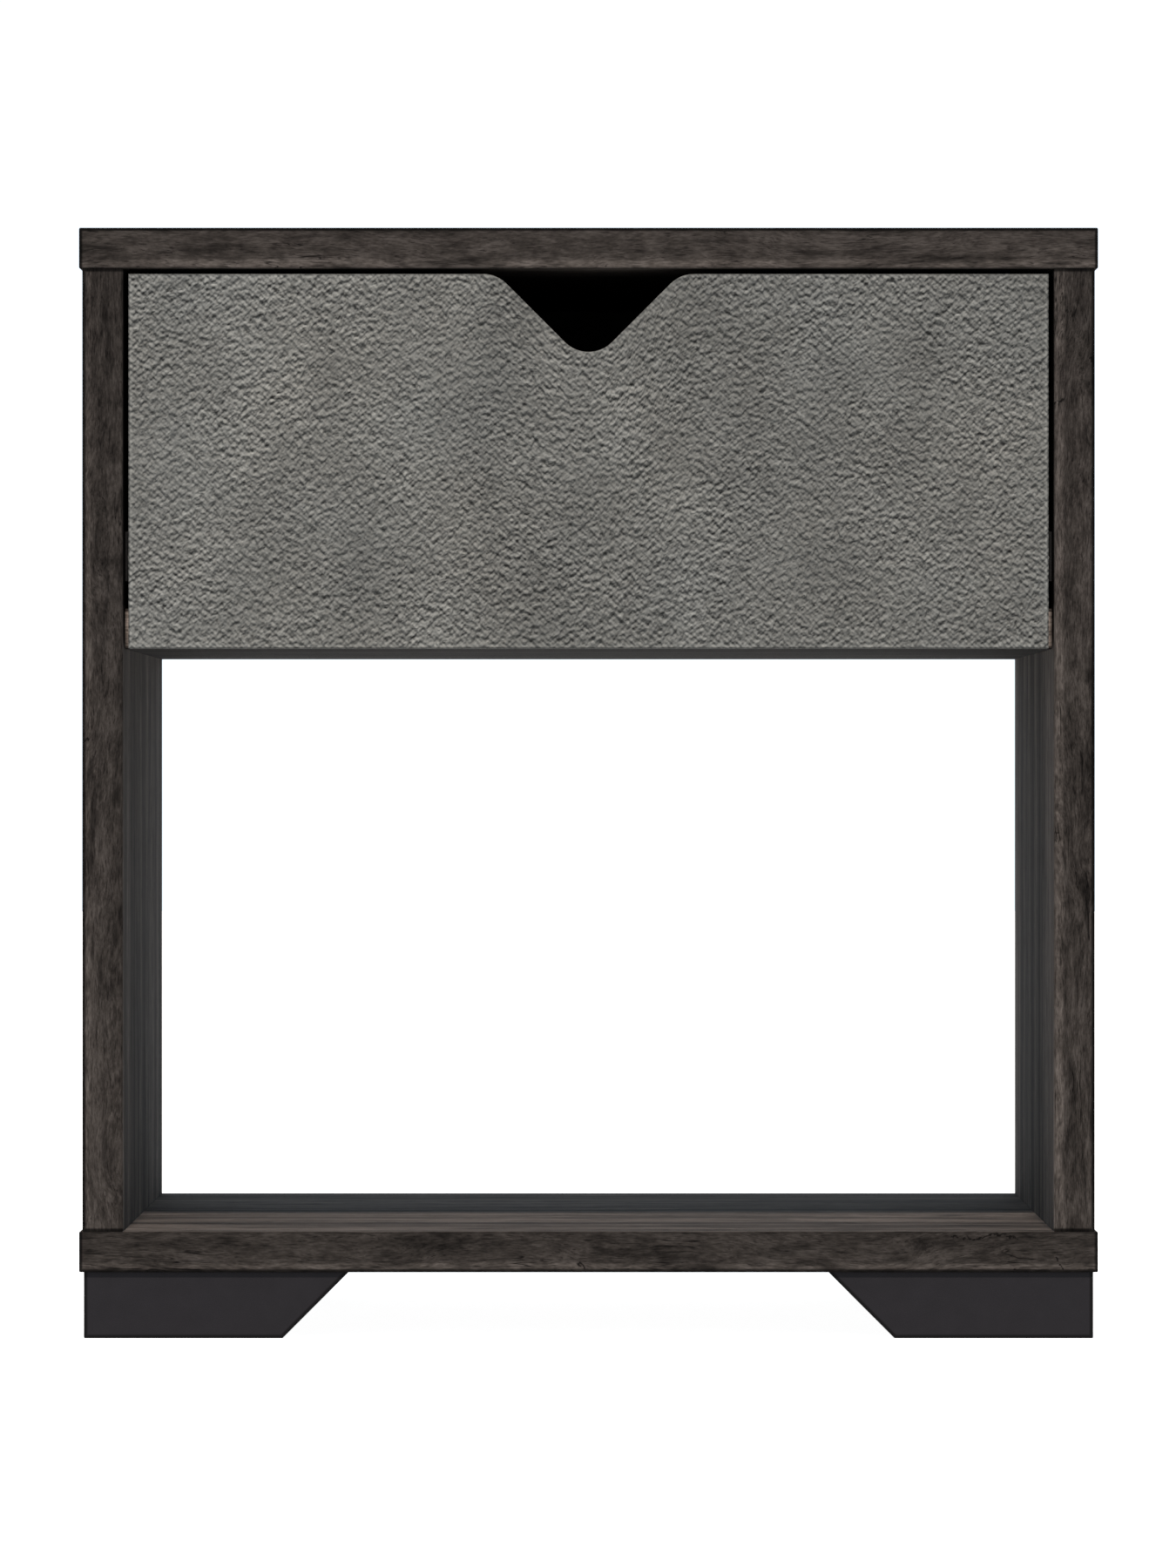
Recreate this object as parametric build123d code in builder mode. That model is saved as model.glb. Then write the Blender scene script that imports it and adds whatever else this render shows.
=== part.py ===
from build123d import *

import os
from math import radians, sin, tan

# Side table with one drawer over an open compartment, made of flat-pack boards.
# Millimetres. Seen from the front, +X is right, +Y is back and +Z is up. The origin is on the floor,
# under the middle of the table.

# Overall sizes
overall_width = 400.0
overall_depth = 350.0
side_height = 378.0
foot_height = 26.0

# Boards and sheets
carcass_board = 16.0
front_board = 16.0
drawer_board = 12.0
back_sheet = 3.0
bottom_sheet = 3.0
edge_round = 0.6

# How the carcass boards lie to each other
side_overhang = 1.3
rear_shadow = 0.3
back_inset = 2.0

# Drawer front with its V notch
front_gap = 2.1
front_height = 147.0
notch_width = 72.0
notch_angle = 90.0
notch_tip_radius = 13.0
notch_shoulder_radius = 13.0

# Drawer box and the shelf under it
shelf_setback = 2.0
slide_space = 12.5
box_rear_space = 30.0
box_drop = 18.0
box_lift = 13.0
groove_lift = 10.0
groove_depth = 5.0
groove_play = 0.2
groove_end_gap = 0.5

# Roller slides
rail_metal = 1.0
rail_setback = 1.5
rail_tip_gap = 1.5
rail_seat = 10.0
running_flange_rise = 14.75
flange_gap = 0.5
rail_engagement = 70.0
stop_height = 3.0
stop_gap = 0.5
roller_radius = 8.5
roller_side_gap = 1.5
roller_edge = 0.4
roller_end_gap = 1.0
roller_relief = 3.0
running_gap = 0.25
axle_radius = 2.5
axle_shoulder_radius = 4.0
axle_head = 0.6
axle_play = 0.2
bore_play = 0.05
rail_screw_inset = 35.0

# Moulded corner feet
foot_inset = 1.8
foot_length = 104.0
foot_thickness = 18.0
foot_slope = 45.0
foot_wall = 2.5
foot_edge = 0.5
boss_wall = 1.0
boss_setback = 16.0
boss_ledge = 4.0
counterbore_play = 0.7

# Places of the fastenings
fit = 0.1
fitting_inset = 60.0
dowel_pitch = 32.0
connecting_pitch = 33.0
back_nail_inset = 12.0
back_nail_count = 4
shelf_nail_spread = 120.0
drawer_fitting_low = 30.0
drawer_fitting_top = 22.0
drawer_screw_low = 38.0
drawer_screw_top = 20.0
bottom_nail_spread = 110.0

# Cam fittings of the carcass: cam lock, then cam bolt
cam_radius = 7.4
cam_depth = 12.4
cam_offset = 24.0
cam_bolt_thread_radius = 2.5
cam_bolt_thread = 10.5
cam_bolt_shank_radius = 2.2
cam_bolt_head_radius = 3.3

# Cam fittings of the drawer, for its thinner board
small_cam_radius = 5.9
small_cam_depth = 9.4
small_cam_offset = 20.0
small_bolt_thread_radius = 2.2
small_bolt_thread = 9.0
small_bolt_shank_radius = 1.8
small_bolt_head_radius = 2.6

# Shared by both sizes of cam fitting
cam_recess = 0.2
cam_bolt_tip = 0.8
cam_bolt_collar = 1.2
cam_bolt_head = 3.0
cam_slot_play = 0.3

# Dowels
dowel_radius = 4.0
dowel_length = 30.0
dowel_in_face = 10.5
small_dowel_radius = 3.0
small_dowel_length = 25.0
small_dowel_in_face = 9.0
dowel_chamfer = 1.0
dowel_end_gap = 1.0

# Connecting screws between the bottom and the sides
connecting_screw_head_radius = 5.0
connecting_screw_shoulder_radius = 3.4
connecting_screw_core_radius = 2.4
connecting_screw_length = 50.0
connecting_screw_socket = 2.3
connecting_screw_socket_depth = 3.0

# Countersunk screws in the rails and the drawer's back, and round-headed screws in the feet
screw_radius = 1.75
countersunk_head_radius = 3.4
countersink_angle = 90.0
cabinet_rail_screw_length = 12.0
drawer_rail_screw_length = 9.5
drawer_back_screw_length = 35.0
foot_screw_length = 15.0
foot_screw_head_radius = 3.5
foot_screw_head = 2.2
drive_reach = 1.8
drive_width = 0.9
drive_depth = 1.0

# Nails of the back panel and the drawer bottom
nail_radius = 0.8
nail_head_radius = 2.0
nail_head = 0.7
nail_length = 20.0

# Directions
UP = (0, 0, 1)
DOWN = (0, 0, -1)
FORWARD = (0, -1, 0)
BACKWARD = (0, 1, 0)
hands = {"left": -1, "right": 1}
ends = {"front": -1, "rear": 1}

# Levels and faces of the carcass
front_y = -overall_depth / 2
rear_y = overall_depth / 2
back_face_y = rear_y - rear_shadow - nail_head
side_rear_y = back_face_y - back_sheet
side_outer = overall_width / 2 - side_overhang
side_inner = side_outer - carcass_board
side_middle = (side_outer + side_inner) / 2
underside_z = foot_height
floor_z = underside_z + carcass_board
side_top_z = floor_z + side_height

# Levels and faces of the drawer front and the shelf
front_back_y = front_y + front_board
front_half = side_inner - front_gap
front_top_z = side_top_z - front_gap
front_bottom_z = front_top_z - front_height
notch_sharp_depth = notch_width / 2 / tan(radians(notch_angle / 2))
shelf_front_y = front_back_y + shelf_setback
shelf_bottom_z = front_bottom_z
shelf_top_z = shelf_bottom_z + carcass_board
shelf_middle_z = (shelf_bottom_z + shelf_top_z) / 2

# Levels and faces of the drawer box
box_outer = side_inner - slide_space
box_inner = box_outer - drawer_board
box_middle = (box_outer + box_inner) / 2
box_rear_y = side_rear_y - box_rear_space
box_length = box_rear_y - front_back_y
box_back_y = box_rear_y - drawer_board
box_bottom_z = shelf_top_z + box_lift
box_top_z = front_top_z - box_drop
groove_z = box_bottom_z + groove_lift
groove_height = bottom_sheet + groove_play
sheet_half = box_inner + groove_depth - groove_end_gap
sheet_front_y = front_back_y - groove_depth + groove_end_gap

# Levels and faces of the slides
rail_length = box_length
rail_reach = slide_space - rail_metal - rail_tip_gap
drawer_travel = rail_length - rail_engagement
roller_mid = slide_space / 2
roller_width = slide_space - 2 * (rail_metal + roller_side_gap)
roller_end = roller_radius + roller_end_gap
running_flange_z = box_bottom_z + running_flange_rise
cabinet_roller_z = running_flange_z - running_gap - roller_radius
channel_top_z = running_flange_z + rail_metal + flange_gap
drawer_roller_z = channel_top_z - running_gap - roller_radius
channel_bottom_z = drawer_roller_z - roller_radius - running_gap
cabinet_rail_front_y = front_back_y + rail_setback
cabinet_rail_rear_y = cabinet_rail_front_y + rail_length
cabinet_roller_y = cabinet_rail_front_y + roller_end
drawer_roller_y = box_rear_y - roller_end

# Bosses of the feet
boss_counterbore = foot_screw_head_radius + counterbore_play
boss_radius = boss_counterbore + boss_wall
boss_reach = foot_length - foot_height / tan(radians(foot_slope)) - boss_setback


def seats(points, out, along=None):
    """Planes at the points, each with its normal pointing out of the hole there."""
    return [Plane(origin=point, x_dir=along, z_dir=out) for point in points]


# Fastening places of the carcass
fitting_ys = (front_y + fitting_inset, side_rear_y - fitting_inset)
dowel_ys = (fitting_ys[0] + dowel_pitch, fitting_ys[1] - dowel_pitch)
connecting_ys = (dowel_ys[0] + connecting_pitch, dowel_ys[1] - connecting_pitch)


def top_bolt_points(hand):
    return [(hand * side_middle, y, side_top_z) for y in fitting_ys]


def top_dowel_points(hand):
    return [(hand * side_middle, y, side_top_z) for y in dowel_ys]


def top_cam_seats(hand):
    points = [(hand * side_inner, y, side_top_z - cam_offset) for y in fitting_ys]
    return seats(points, (-hand, 0, 0), UP)


def shelf_bolt_points(hand):
    return [(hand * side_inner, y, shelf_middle_z) for y in fitting_ys]


def shelf_dowel_points(hand):
    return [(hand * side_inner, y, shelf_middle_z) for y in dowel_ys]


def shelf_cam_seats(hand):
    points = [(hand * (side_inner - cam_offset), y, shelf_top_z) for y in fitting_ys]
    return seats(points, UP, (hand, 0, 0))


def connecting_points(hand, level):
    return [(hand * side_middle, y, level) for y in connecting_ys]


def bottom_dowel_points(hand):
    return [(hand * side_middle, y, floor_z) for y in dowel_ys]


def side_nail_points(hand, face_y):
    low = shelf_bottom_z + back_nail_inset
    step = (side_top_z - back_nail_inset - low) / (back_nail_count - 1)
    return [(hand * side_middle, face_y, low + step * number) for number in range(back_nail_count)]


def shelf_nail_points(face_y):
    return [(x, face_y, shelf_middle_z) for x in (-shelf_nail_spread, 0, shelf_nail_spread)]


def foot_frame(hand, end):
    """Frame of one corner foot: origin at its outer corner on the floor, wings along +X and +Y."""
    corner = (hand * (overall_width / 2 - foot_inset), end * (overall_depth / 2 - foot_inset), 0)
    first_wing = (-hand, 0, 0) if hand == end else (0, -end, 0)
    return Plane(origin=corner, x_dir=first_wing, z_dir=UP)


boss_centres = [
    (foot_thickness / 2, foot_thickness / 2),
    (boss_reach, foot_thickness / 2),
    (foot_thickness / 2, boss_reach),
]


def foot_screw_points(level):
    frames = [foot_frame(hand, end) for hand in hands.values() for end in ends.values()]
    return [tuple(frame.from_local_coords((x, y, level))) for frame in frames for x, y in boss_centres]


# Fastening places of the drawer and its slides
drawer_fitting_zs = (box_bottom_z + drawer_fitting_low, box_top_z - drawer_fitting_top)
drawer_dowel_z = (drawer_fitting_zs[0] + drawer_fitting_zs[1]) / 2
drawer_screw_zs = (box_bottom_z + drawer_screw_low, box_top_z - drawer_screw_top)
back_middle_y = (box_back_y + box_rear_y) / 2


def drawer_bolt_points(hand):
    return [(hand * box_middle, front_back_y, z) for z in drawer_fitting_zs]


def drawer_dowel_points(hand):
    return [(hand * box_middle, front_back_y, drawer_dowel_z)]


def drawer_cam_seats(hand):
    points = [(hand * box_inner, front_back_y + small_cam_offset, z) for z in drawer_fitting_zs]
    return seats(points, (-hand, 0, 0), FORWARD)


def drawer_screw_seats(hand):
    return seats([(hand * box_outer, back_middle_y, z) for z in drawer_screw_zs], (hand, 0, 0))


def bottom_nail_seats():
    points = [(x, back_middle_y, groove_z) for x in (-bottom_nail_spread, 0, bottom_nail_spread)]
    return seats(points, DOWN)


def rail_screw_ys(rail_front_y):
    return (
        rail_front_y + rail_screw_inset,
        rail_front_y + rail_length / 2,
        rail_front_y + rail_length - rail_screw_inset,
    )


def cabinet_rail_screw_seats(hand):
    z = (channel_bottom_z + channel_top_z) / 2
    points = [(hand * (side_inner - rail_metal), y, z) for y in rail_screw_ys(cabinet_rail_front_y)]
    return seats(points, (-hand, 0, 0))


def drawer_rail_screw_seats(hand):
    z = (box_bottom_z + groove_z) / 2
    points = [(hand * (box_outer + rail_metal), y, z) for y in rail_screw_ys(front_back_y)]
    return seats(points, (hand, 0, 0))


def cabinet_axle_seat(hand):
    return seats([(hand * side_inner, cabinet_roller_y, cabinet_roller_z)], (-hand, 0, 0))


def drawer_axle_seat(hand):
    return seats([(hand * box_outer, drawer_roller_y, drawer_roller_z)], (hand, 0, 0))


def save(part, name):
    part.label = name
    export_step(part, f"parts/{name}.step")


# Fasteners, each in its own frame: +Z points out of the hole that it sits in


def drive_recess():
    """Cross slot for the driver, cut down from the head's face."""
    with BuildPart() as recess:
        with BuildSketch():
            Rectangle(2 * drive_reach, drive_width)
            Rectangle(drive_width, 2 * drive_reach)
        extrude(amount=-drive_depth)
    return recess.part


def countersink_depth(head_radius, shank_radius):
    return (head_radius - shank_radius) / tan(radians(countersink_angle / 2))


def countersunk_screw(length):
    with BuildPart() as screw:
        with BuildSketch(Plane.XZ):
            with BuildLine():
                Polyline(
                    (0, 0),
                    (countersunk_head_radius, 0),
                    (screw_radius, -countersink_depth(countersunk_head_radius, screw_radius)),
                    (screw_radius, 2 * screw_radius - length),
                    (0, -length),
                    close=True,
                )
            make_face()
        revolve(axis=Axis.Z)
        add(drive_recess(), mode=Mode.SUBTRACT)
    return screw.part


def round_headed_screw(length):
    with BuildPart() as screw:
        with BuildSketch(Plane.XZ):
            with BuildLine():
                Polyline(
                    (0, -length),
                    (screw_radius, 2 * screw_radius - length),
                    (screw_radius, 0),
                    (foot_screw_head_radius, 0),
                    (foot_screw_head_radius, foot_screw_head / 2),
                    (drive_reach, foot_screw_head),
                    (0, foot_screw_head),
                    close=True,
                )
            make_face()
        revolve(axis=Axis.Z)
        with Locations((0, 0, foot_screw_head)):
            add(drive_recess(), mode=Mode.SUBTRACT)
    return screw.part


def connecting_screw():
    """Screw with a smooth shoulder through the bottom panel and a thinner core in the side's end."""
    cone = countersink_depth(connecting_screw_head_radius, connecting_screw_shoulder_radius)
    shoulder_end = carcass_board - dowel_end_gap
    with BuildPart() as screw:
        with BuildSketch(Plane.XZ):
            with BuildLine():
                Polyline(
                    (0, 0),
                    (connecting_screw_head_radius, 0),
                    (connecting_screw_shoulder_radius, -cone),
                    (connecting_screw_shoulder_radius, -shoulder_end),
                    (connecting_screw_core_radius, -shoulder_end),
                    (connecting_screw_core_radius, connecting_screw_core_radius - connecting_screw_length),
                    (0, -connecting_screw_length),
                    close=True,
                )
            make_face()
        revolve(axis=Axis.Z)
        with BuildSketch():
            RegularPolygon(connecting_screw_socket, 6)
        extrude(amount=-connecting_screw_socket_depth, mode=Mode.SUBTRACT)
    return screw.part


def nail():
    with BuildPart() as pin:
        with BuildSketch(Plane.XZ):
            with BuildLine():
                Polyline(
                    (0, -nail_length),
                    (nail_radius, 2 * nail_radius - nail_length),
                    (nail_radius, 0),
                    (nail_head_radius, 0),
                    (nail_head_radius, nail_head),
                    (0, nail_head),
                    close=True,
                )
            make_face()
        revolve(axis=Axis.Z)
    return pin.part


def dowel(radius, length, in_face):
    """Wood dowel that reaches in_face below the joint and the rest of its length above it."""
    with BuildPart() as pin:
        with BuildSketch(Plane.XY.offset(-in_face)):
            Circle(radius)
        extrude(amount=length)
        chamfer(pin.edges().filter_by(GeomType.CIRCLE), dowel_chamfer)
    return pin.part


def cam_bolt(thread_radius, thread_length, shank_radius, head_radius, reach):
    """Bolt with its thread below the joint and its head at the cam's centre."""
    head_low = reach - cam_bolt_head / 2
    with BuildPart() as bolt:
        with BuildSketch(Plane.XZ):
            with BuildLine():
                Polyline(
                    (0, -thread_length),
                    (thread_radius - cam_bolt_tip, -thread_length),
                    (thread_radius, cam_bolt_tip - thread_length),
                    (thread_radius, 0),
                    (head_radius, 0),
                    (head_radius, cam_bolt_collar),
                    (shank_radius, cam_bolt_collar),
                    (shank_radius, head_low),
                    (head_radius, head_low),
                    (head_radius, head_low + cam_bolt_head),
                    (0, head_low + cam_bolt_head),
                    close=True,
                )
            make_face()
        revolve(axis=Axis.Z)
    return bolt.part


def cam_lock(radius, depth, bolt_depth, bolt_head_radius):
    """Cam in its bore, open along +X to the bolt, whose axis lies bolt_depth under the board's face."""
    with BuildPart() as cam:
        with BuildSketch(Plane.XY.offset(-cam_recess)):
            Circle(radius)
        extrude(amount=cam_recess - depth)
        with BuildSketch(Plane.YZ.offset(-cam_bolt_head)):
            with Locations((0, -bolt_depth)):
                Circle(bolt_head_radius + cam_slot_play)
        extrude(amount=cam_bolt_head + radius, mode=Mode.SUBTRACT)
        with Locations((0, 0, -cam_recess)):
            add(drive_recess(), mode=Mode.SUBTRACT)
    return cam.part


def roller_axle():
    """Stepped rivet from the back of its sheet, through a roller, to a flat head."""
    near = roller_mid - roller_width / 2 - axle_play
    far = roller_mid + roller_width / 2 + axle_play
    with BuildPart() as axle:
        with BuildSketch(Plane.XZ):
            with BuildLine():
                Polyline(
                    (0, 0),
                    (axle_radius, 0),
                    (axle_radius, rail_metal),
                    (axle_shoulder_radius, rail_metal),
                    (axle_shoulder_radius, near),
                    (axle_radius, near),
                    (axle_radius, far),
                    (axle_shoulder_radius, far),
                    (axle_shoulder_radius, far + axle_head),
                    (0, far + axle_head),
                    close=True,
                )
            make_face()
        revolve(axis=Axis.Z)
    return axle.part


def group(piece, places, name):
    """One node of identical pieces, each a solid of its own."""
    with BuildPart() as pieces:
        with Locations(*places):
            add(piece)
    save(pieces.part, name)


def both(places):
    """The left hand's places, then the right hand's."""
    return [place for hand in hands.values() for place in places(hand)]


# Carcass boards


def top_panel():
    with BuildPart() as panel:
        with BuildSketch(Plane.XY.offset(side_top_z)):
            Rectangle(overall_width, overall_depth)
        extrude(amount=carcass_board)
        fillet(panel.edges(), edge_round)
        with Locations(*seats(both(top_bolt_points), DOWN)):
            Hole(cam_bolt_thread_radius + fit, cam_bolt_thread + fit)
        with Locations(*seats(both(top_dowel_points), DOWN)):
            Hole(dowel_radius + fit, dowel_in_face + dowel_end_gap)
    return panel.part


def bottom_panel():
    with BuildPart() as panel:
        with BuildSketch(Plane.XY.offset(underside_z)):
            Rectangle(overall_width, overall_depth)
        extrude(amount=carcass_board)
        fillet(panel.edges(), edge_round)
        screw_points = both(lambda hand: connecting_points(hand, underside_z))
        with Locations(*seats(screw_points, DOWN)):
            CounterSinkHole(
                connecting_screw_shoulder_radius + fit,
                connecting_screw_head_radius + fit,
                counter_sink_angle=countersink_angle,
            )
        with Locations(*seats(both(bottom_dowel_points), UP)):
            Hole(dowel_radius + fit, dowel_in_face + dowel_end_gap)
        with Locations(*seats(foot_screw_points(underside_z), DOWN)):
            Hole(screw_radius + fit, foot_screw_length - boss_ledge + fit)
    return panel.part


def side_panel(hand):
    with BuildPart() as panel:
        with BuildSketch(Plane.XY.offset(floor_z)):
            with Locations((hand * side_middle, (front_y + side_rear_y) / 2)):
                Rectangle(carcass_board, side_rear_y - front_y)
        extrude(amount=side_height)
        fillet(panel.edges().filter_by(Axis.Z), edge_round)
        # Top end and the cams beside it
        with Locations(*seats(top_bolt_points(hand), UP)):
            Hole(cam_bolt_head_radius + cam_slot_play, cam_offset + cam_bolt_head)
        with Locations(*seats(top_dowel_points(hand), UP)):
            Hole(dowel_radius + fit, dowel_length - dowel_in_face + dowel_end_gap)
        with Locations(*top_cam_seats(hand)):
            Hole(cam_radius + fit, cam_depth + fit)
        # Inner face: the shelf and the slide
        inward = (-hand, 0, 0)
        with Locations(*seats(shelf_bolt_points(hand), inward)):
            Hole(cam_bolt_thread_radius + fit, cam_bolt_thread + fit)
        with Locations(*seats(shelf_dowel_points(hand), inward)):
            Hole(dowel_radius + fit, dowel_in_face + dowel_end_gap)
        with Locations(*cabinet_rail_screw_seats(hand)):
            CounterSinkHole(
                screw_radius + fit,
                countersunk_head_radius + fit,
                cabinet_rail_screw_length + fit,
                counter_sink_angle=countersink_angle,
            )
        # Bottom end
        with Locations(*seats(connecting_points(hand, floor_z), DOWN)):
            Hole(connecting_screw_core_radius + fit, connecting_screw_length - carcass_board + fit)
        with Locations(*seats(bottom_dowel_points(hand), DOWN)):
            Hole(dowel_radius + fit, dowel_length - dowel_in_face + dowel_end_gap)
        # Rear edge
        with Locations(*seats(side_nail_points(hand, side_rear_y), BACKWARD)):
            Hole(nail_radius + fit, nail_length - back_sheet + fit)
    return panel.part


def drawer_shelf():
    with BuildPart() as panel:
        with BuildSketch(Plane.XY.offset(shelf_bottom_z)):
            with Locations((0, (shelf_front_y + side_rear_y) / 2)):
                Rectangle(2 * side_inner, side_rear_y - shelf_front_y)
        extrude(amount=carcass_board)
        fillet(panel.edges().filter_by(Axis.X), edge_round)
        for hand in hands.values():
            outward = (hand, 0, 0)
            with Locations(*seats(shelf_bolt_points(hand), outward)):
                Hole(cam_bolt_head_radius + cam_slot_play, cam_offset + cam_bolt_head)
            with Locations(*seats(shelf_dowel_points(hand), outward)):
                Hole(dowel_radius + fit, dowel_length - dowel_in_face + dowel_end_gap)
            with Locations(*shelf_cam_seats(hand)):
                Hole(cam_radius + fit, cam_depth + fit)
        with Locations(*seats(shelf_nail_points(side_rear_y), BACKWARD)):
            Hole(nail_radius + fit, nail_length - back_sheet + fit)
    return panel.part


def back_nail_seats():
    points = both(lambda hand: side_nail_points(hand, back_face_y)) + shelf_nail_points(back_face_y)
    return seats(points, BACKWARD)


def back_panel():
    low = shelf_bottom_z + back_inset
    with BuildPart() as panel:
        with BuildSketch(Plane.XZ.offset(-back_face_y)):
            with Locations((0, (low + side_top_z) / 2)):
                Rectangle(2 * (side_outer - back_inset), side_top_z - low)
        extrude(amount=back_sheet)
        with Locations(*back_nail_seats()):
            Hole(nail_radius + fit)
    return panel.part


# Moulded foot: two wings round a corner, hollow under the bottom panel, with three screw bosses


def wing_outline(wall):
    """Side view of one wing, from its outer corner to its slanted end, inset by wall on all but its top."""
    slope = radians(foot_slope)
    low_end = foot_length - (foot_height - wall) / tan(slope) - wall / sin(slope)
    high_end = foot_length - wall / sin(slope)
    return [(wall, wall), (low_end, wall), (high_end, foot_height), (wall, foot_height)]


def corner_foot():
    with BuildPart() as foot:
        with BuildSketch(Plane.XZ):
            Polygon(*wing_outline(0), align=None)
        extrude(amount=-foot_thickness)
        with BuildSketch(Plane.YZ):
            Polygon(*wing_outline(0), align=None)
        extrude(amount=foot_thickness)
        fillet(foot.edges() - foot.faces().sort_by(Axis.Z)[-1].edges(), foot_edge)
        with BuildSketch(Plane.XZ.offset(-foot_wall)):
            Polygon(*wing_outline(foot_wall), align=None)
        extrude(amount=2 * foot_wall - foot_thickness, mode=Mode.SUBTRACT)
        with BuildSketch(Plane.YZ.offset(foot_wall)):
            Polygon(*wing_outline(foot_wall), align=None)
        extrude(amount=foot_thickness - 2 * foot_wall, mode=Mode.SUBTRACT)
        with BuildSketch():
            with Locations(*boss_centres):
                Circle(boss_radius)
        extrude(amount=foot_height)
        with Locations(*seats([(x, y, 0) for x, y in boss_centres], DOWN)):
            CounterBoreHole(screw_radius + fit, boss_counterbore, foot_height - boss_ledge, foot_height)
    return foot.part


# Roller slides


def cabinet_rail(hand):
    """Channel screwed to the side panel, with a roller at its front and stops for the drawer's roller."""
    web = hand * side_inner
    web_face = hand * (side_inner - rail_metal)
    tip = hand * (side_inner - rail_reach)
    low_z = channel_bottom_z - rail_metal
    high_z = channel_top_z + rail_metal
    lower_front_y = cabinet_roller_y + roller_radius + roller_relief
    front_stop_y = drawer_roller_y - drawer_travel - roller_radius - stop_gap - rail_metal
    rear_stop_y = drawer_roller_y + roller_radius + stop_gap
    with BuildPart() as rail:
        with BuildSketch(Plane.XZ.offset(-cabinet_rail_rear_y)):
            with BuildLine():
                Polyline(
                    (web, low_z),
                    (web, high_z),
                    (tip, high_z),
                    (tip, channel_top_z),
                    (web_face, channel_top_z),
                    (web_face, low_z),
                    close=True,
                )
            make_face()
        extrude(amount=rail_length)
        with BuildSketch(Plane.XZ.offset(-cabinet_rail_rear_y)):
            with Locations(((web + tip) / 2, channel_bottom_z - rail_metal / 2)):
                Rectangle(rail_reach, rail_metal)
        extrude(amount=cabinet_rail_rear_y - lower_front_y)
        with BuildSketch(Plane.XY.offset(channel_bottom_z)):
            for stop_y in (front_stop_y, rear_stop_y):
                with Locations(((web_face + tip) / 2, stop_y + rail_metal / 2)):
                    Rectangle(rail_reach - rail_metal, rail_metal)
        extrude(amount=stop_height)
        with Locations(*cabinet_rail_screw_seats(hand)):
            CounterSinkHole(
                screw_radius + fit,
                countersunk_head_radius + fit,
                2 * rail_metal,
                counter_sink_angle=countersink_angle,
            )
        with Locations(*cabinet_axle_seat(hand)):
            Hole(axle_radius + fit, 2 * rail_metal)
    return rail.part


def drawer_rail(hand):
    """Folded rail under and beside the drawer side, whose outer flange runs on the cabinet's roller."""
    plate = hand * box_outer
    plate_face = hand * (box_outer + rail_metal)
    tip = hand * (box_outer + rail_reach)
    seat_end = hand * (box_outer - rail_seat)
    flange_high_z = running_flange_z + rail_metal
    relief_y = drawer_roller_y - roller_radius - roller_relief
    with BuildPart() as rail:
        with BuildSketch(Plane.XZ.offset(-box_rear_y)):
            with BuildLine():
                Polyline(
                    (seat_end, box_bottom_z),
                    (plate, box_bottom_z),
                    (plate, flange_high_z),
                    (plate_face, flange_high_z),
                    (plate_face, box_bottom_z - rail_metal),
                    (seat_end, box_bottom_z - rail_metal),
                    close=True,
                )
            make_face()
        extrude(amount=rail_length)
        with BuildSketch(Plane.XZ.offset(-relief_y)):
            with Locations(((plate + tip) / 2, running_flange_z + rail_metal / 2)):
                Rectangle(rail_reach, rail_metal)
        extrude(amount=relief_y - front_back_y)
        with Locations(*drawer_rail_screw_seats(hand)):
            CounterSinkHole(
                screw_radius + fit,
                countersunk_head_radius + fit,
                2 * rail_metal,
                counter_sink_angle=countersink_angle,
            )
        with Locations(*drawer_axle_seat(hand)):
            Hole(axle_radius + fit, 2 * rail_metal)
    return rail.part


def roller():
    """Plastic roller at its place along its axle."""
    with BuildPart() as wheel:
        with BuildSketch(Plane.XY.offset(roller_mid - roller_width / 2)):
            Circle(roller_radius)
            Circle(axle_radius + bore_play, mode=Mode.SUBTRACT)
        extrude(amount=roller_width)
        rims = wheel.edges().filter_by(GeomType.CIRCLE).sort_by(SortBy.RADIUS)[-2:]
        chamfer(rims, roller_edge)
    return wheel.part


# Drawer


def drawer_front():
    top_corner = notch_width / 2
    with BuildPart() as front:
        with BuildSketch(Plane.XZ.offset(-front_back_y)) as outline:
            with BuildLine():
                Polyline(
                    (-front_half, front_bottom_z),
                    (front_half, front_bottom_z),
                    (front_half, front_top_z),
                    (top_corner, front_top_z),
                    (0, front_top_z - notch_sharp_depth),
                    (-top_corner, front_top_z),
                    (-front_half, front_top_z),
                    close=True,
                )
            make_face()
            shoulders = outline.vertices().sort_by(lambda vertex: abs(vertex.X))[1:3]
            fillet(shoulders, notch_shoulder_radius)
            tip = outline.vertices().sort_by(lambda vertex: abs(vertex.X))[0]
            fillet(tip, notch_tip_radius)
        extrude(amount=front_board)
        fillet(front.faces().filter_by(Axis.Y).edges(), edge_round)
        with Locations(*seats(both(drawer_bolt_points), BACKWARD)):
            Hole(small_bolt_thread_radius + fit, small_bolt_thread + fit)
        with Locations(*seats(both(drawer_dowel_points), BACKWARD)):
            Hole(small_dowel_radius + fit, small_dowel_in_face + dowel_end_gap)
        with BuildSketch(Plane.XZ.offset(-front_back_y)):
            with Locations((0, groove_z + groove_height / 2)):
                Rectangle(2 * (sheet_half + groove_end_gap), groove_height)
        extrude(amount=groove_depth, mode=Mode.SUBTRACT)
    return front.part


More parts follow.
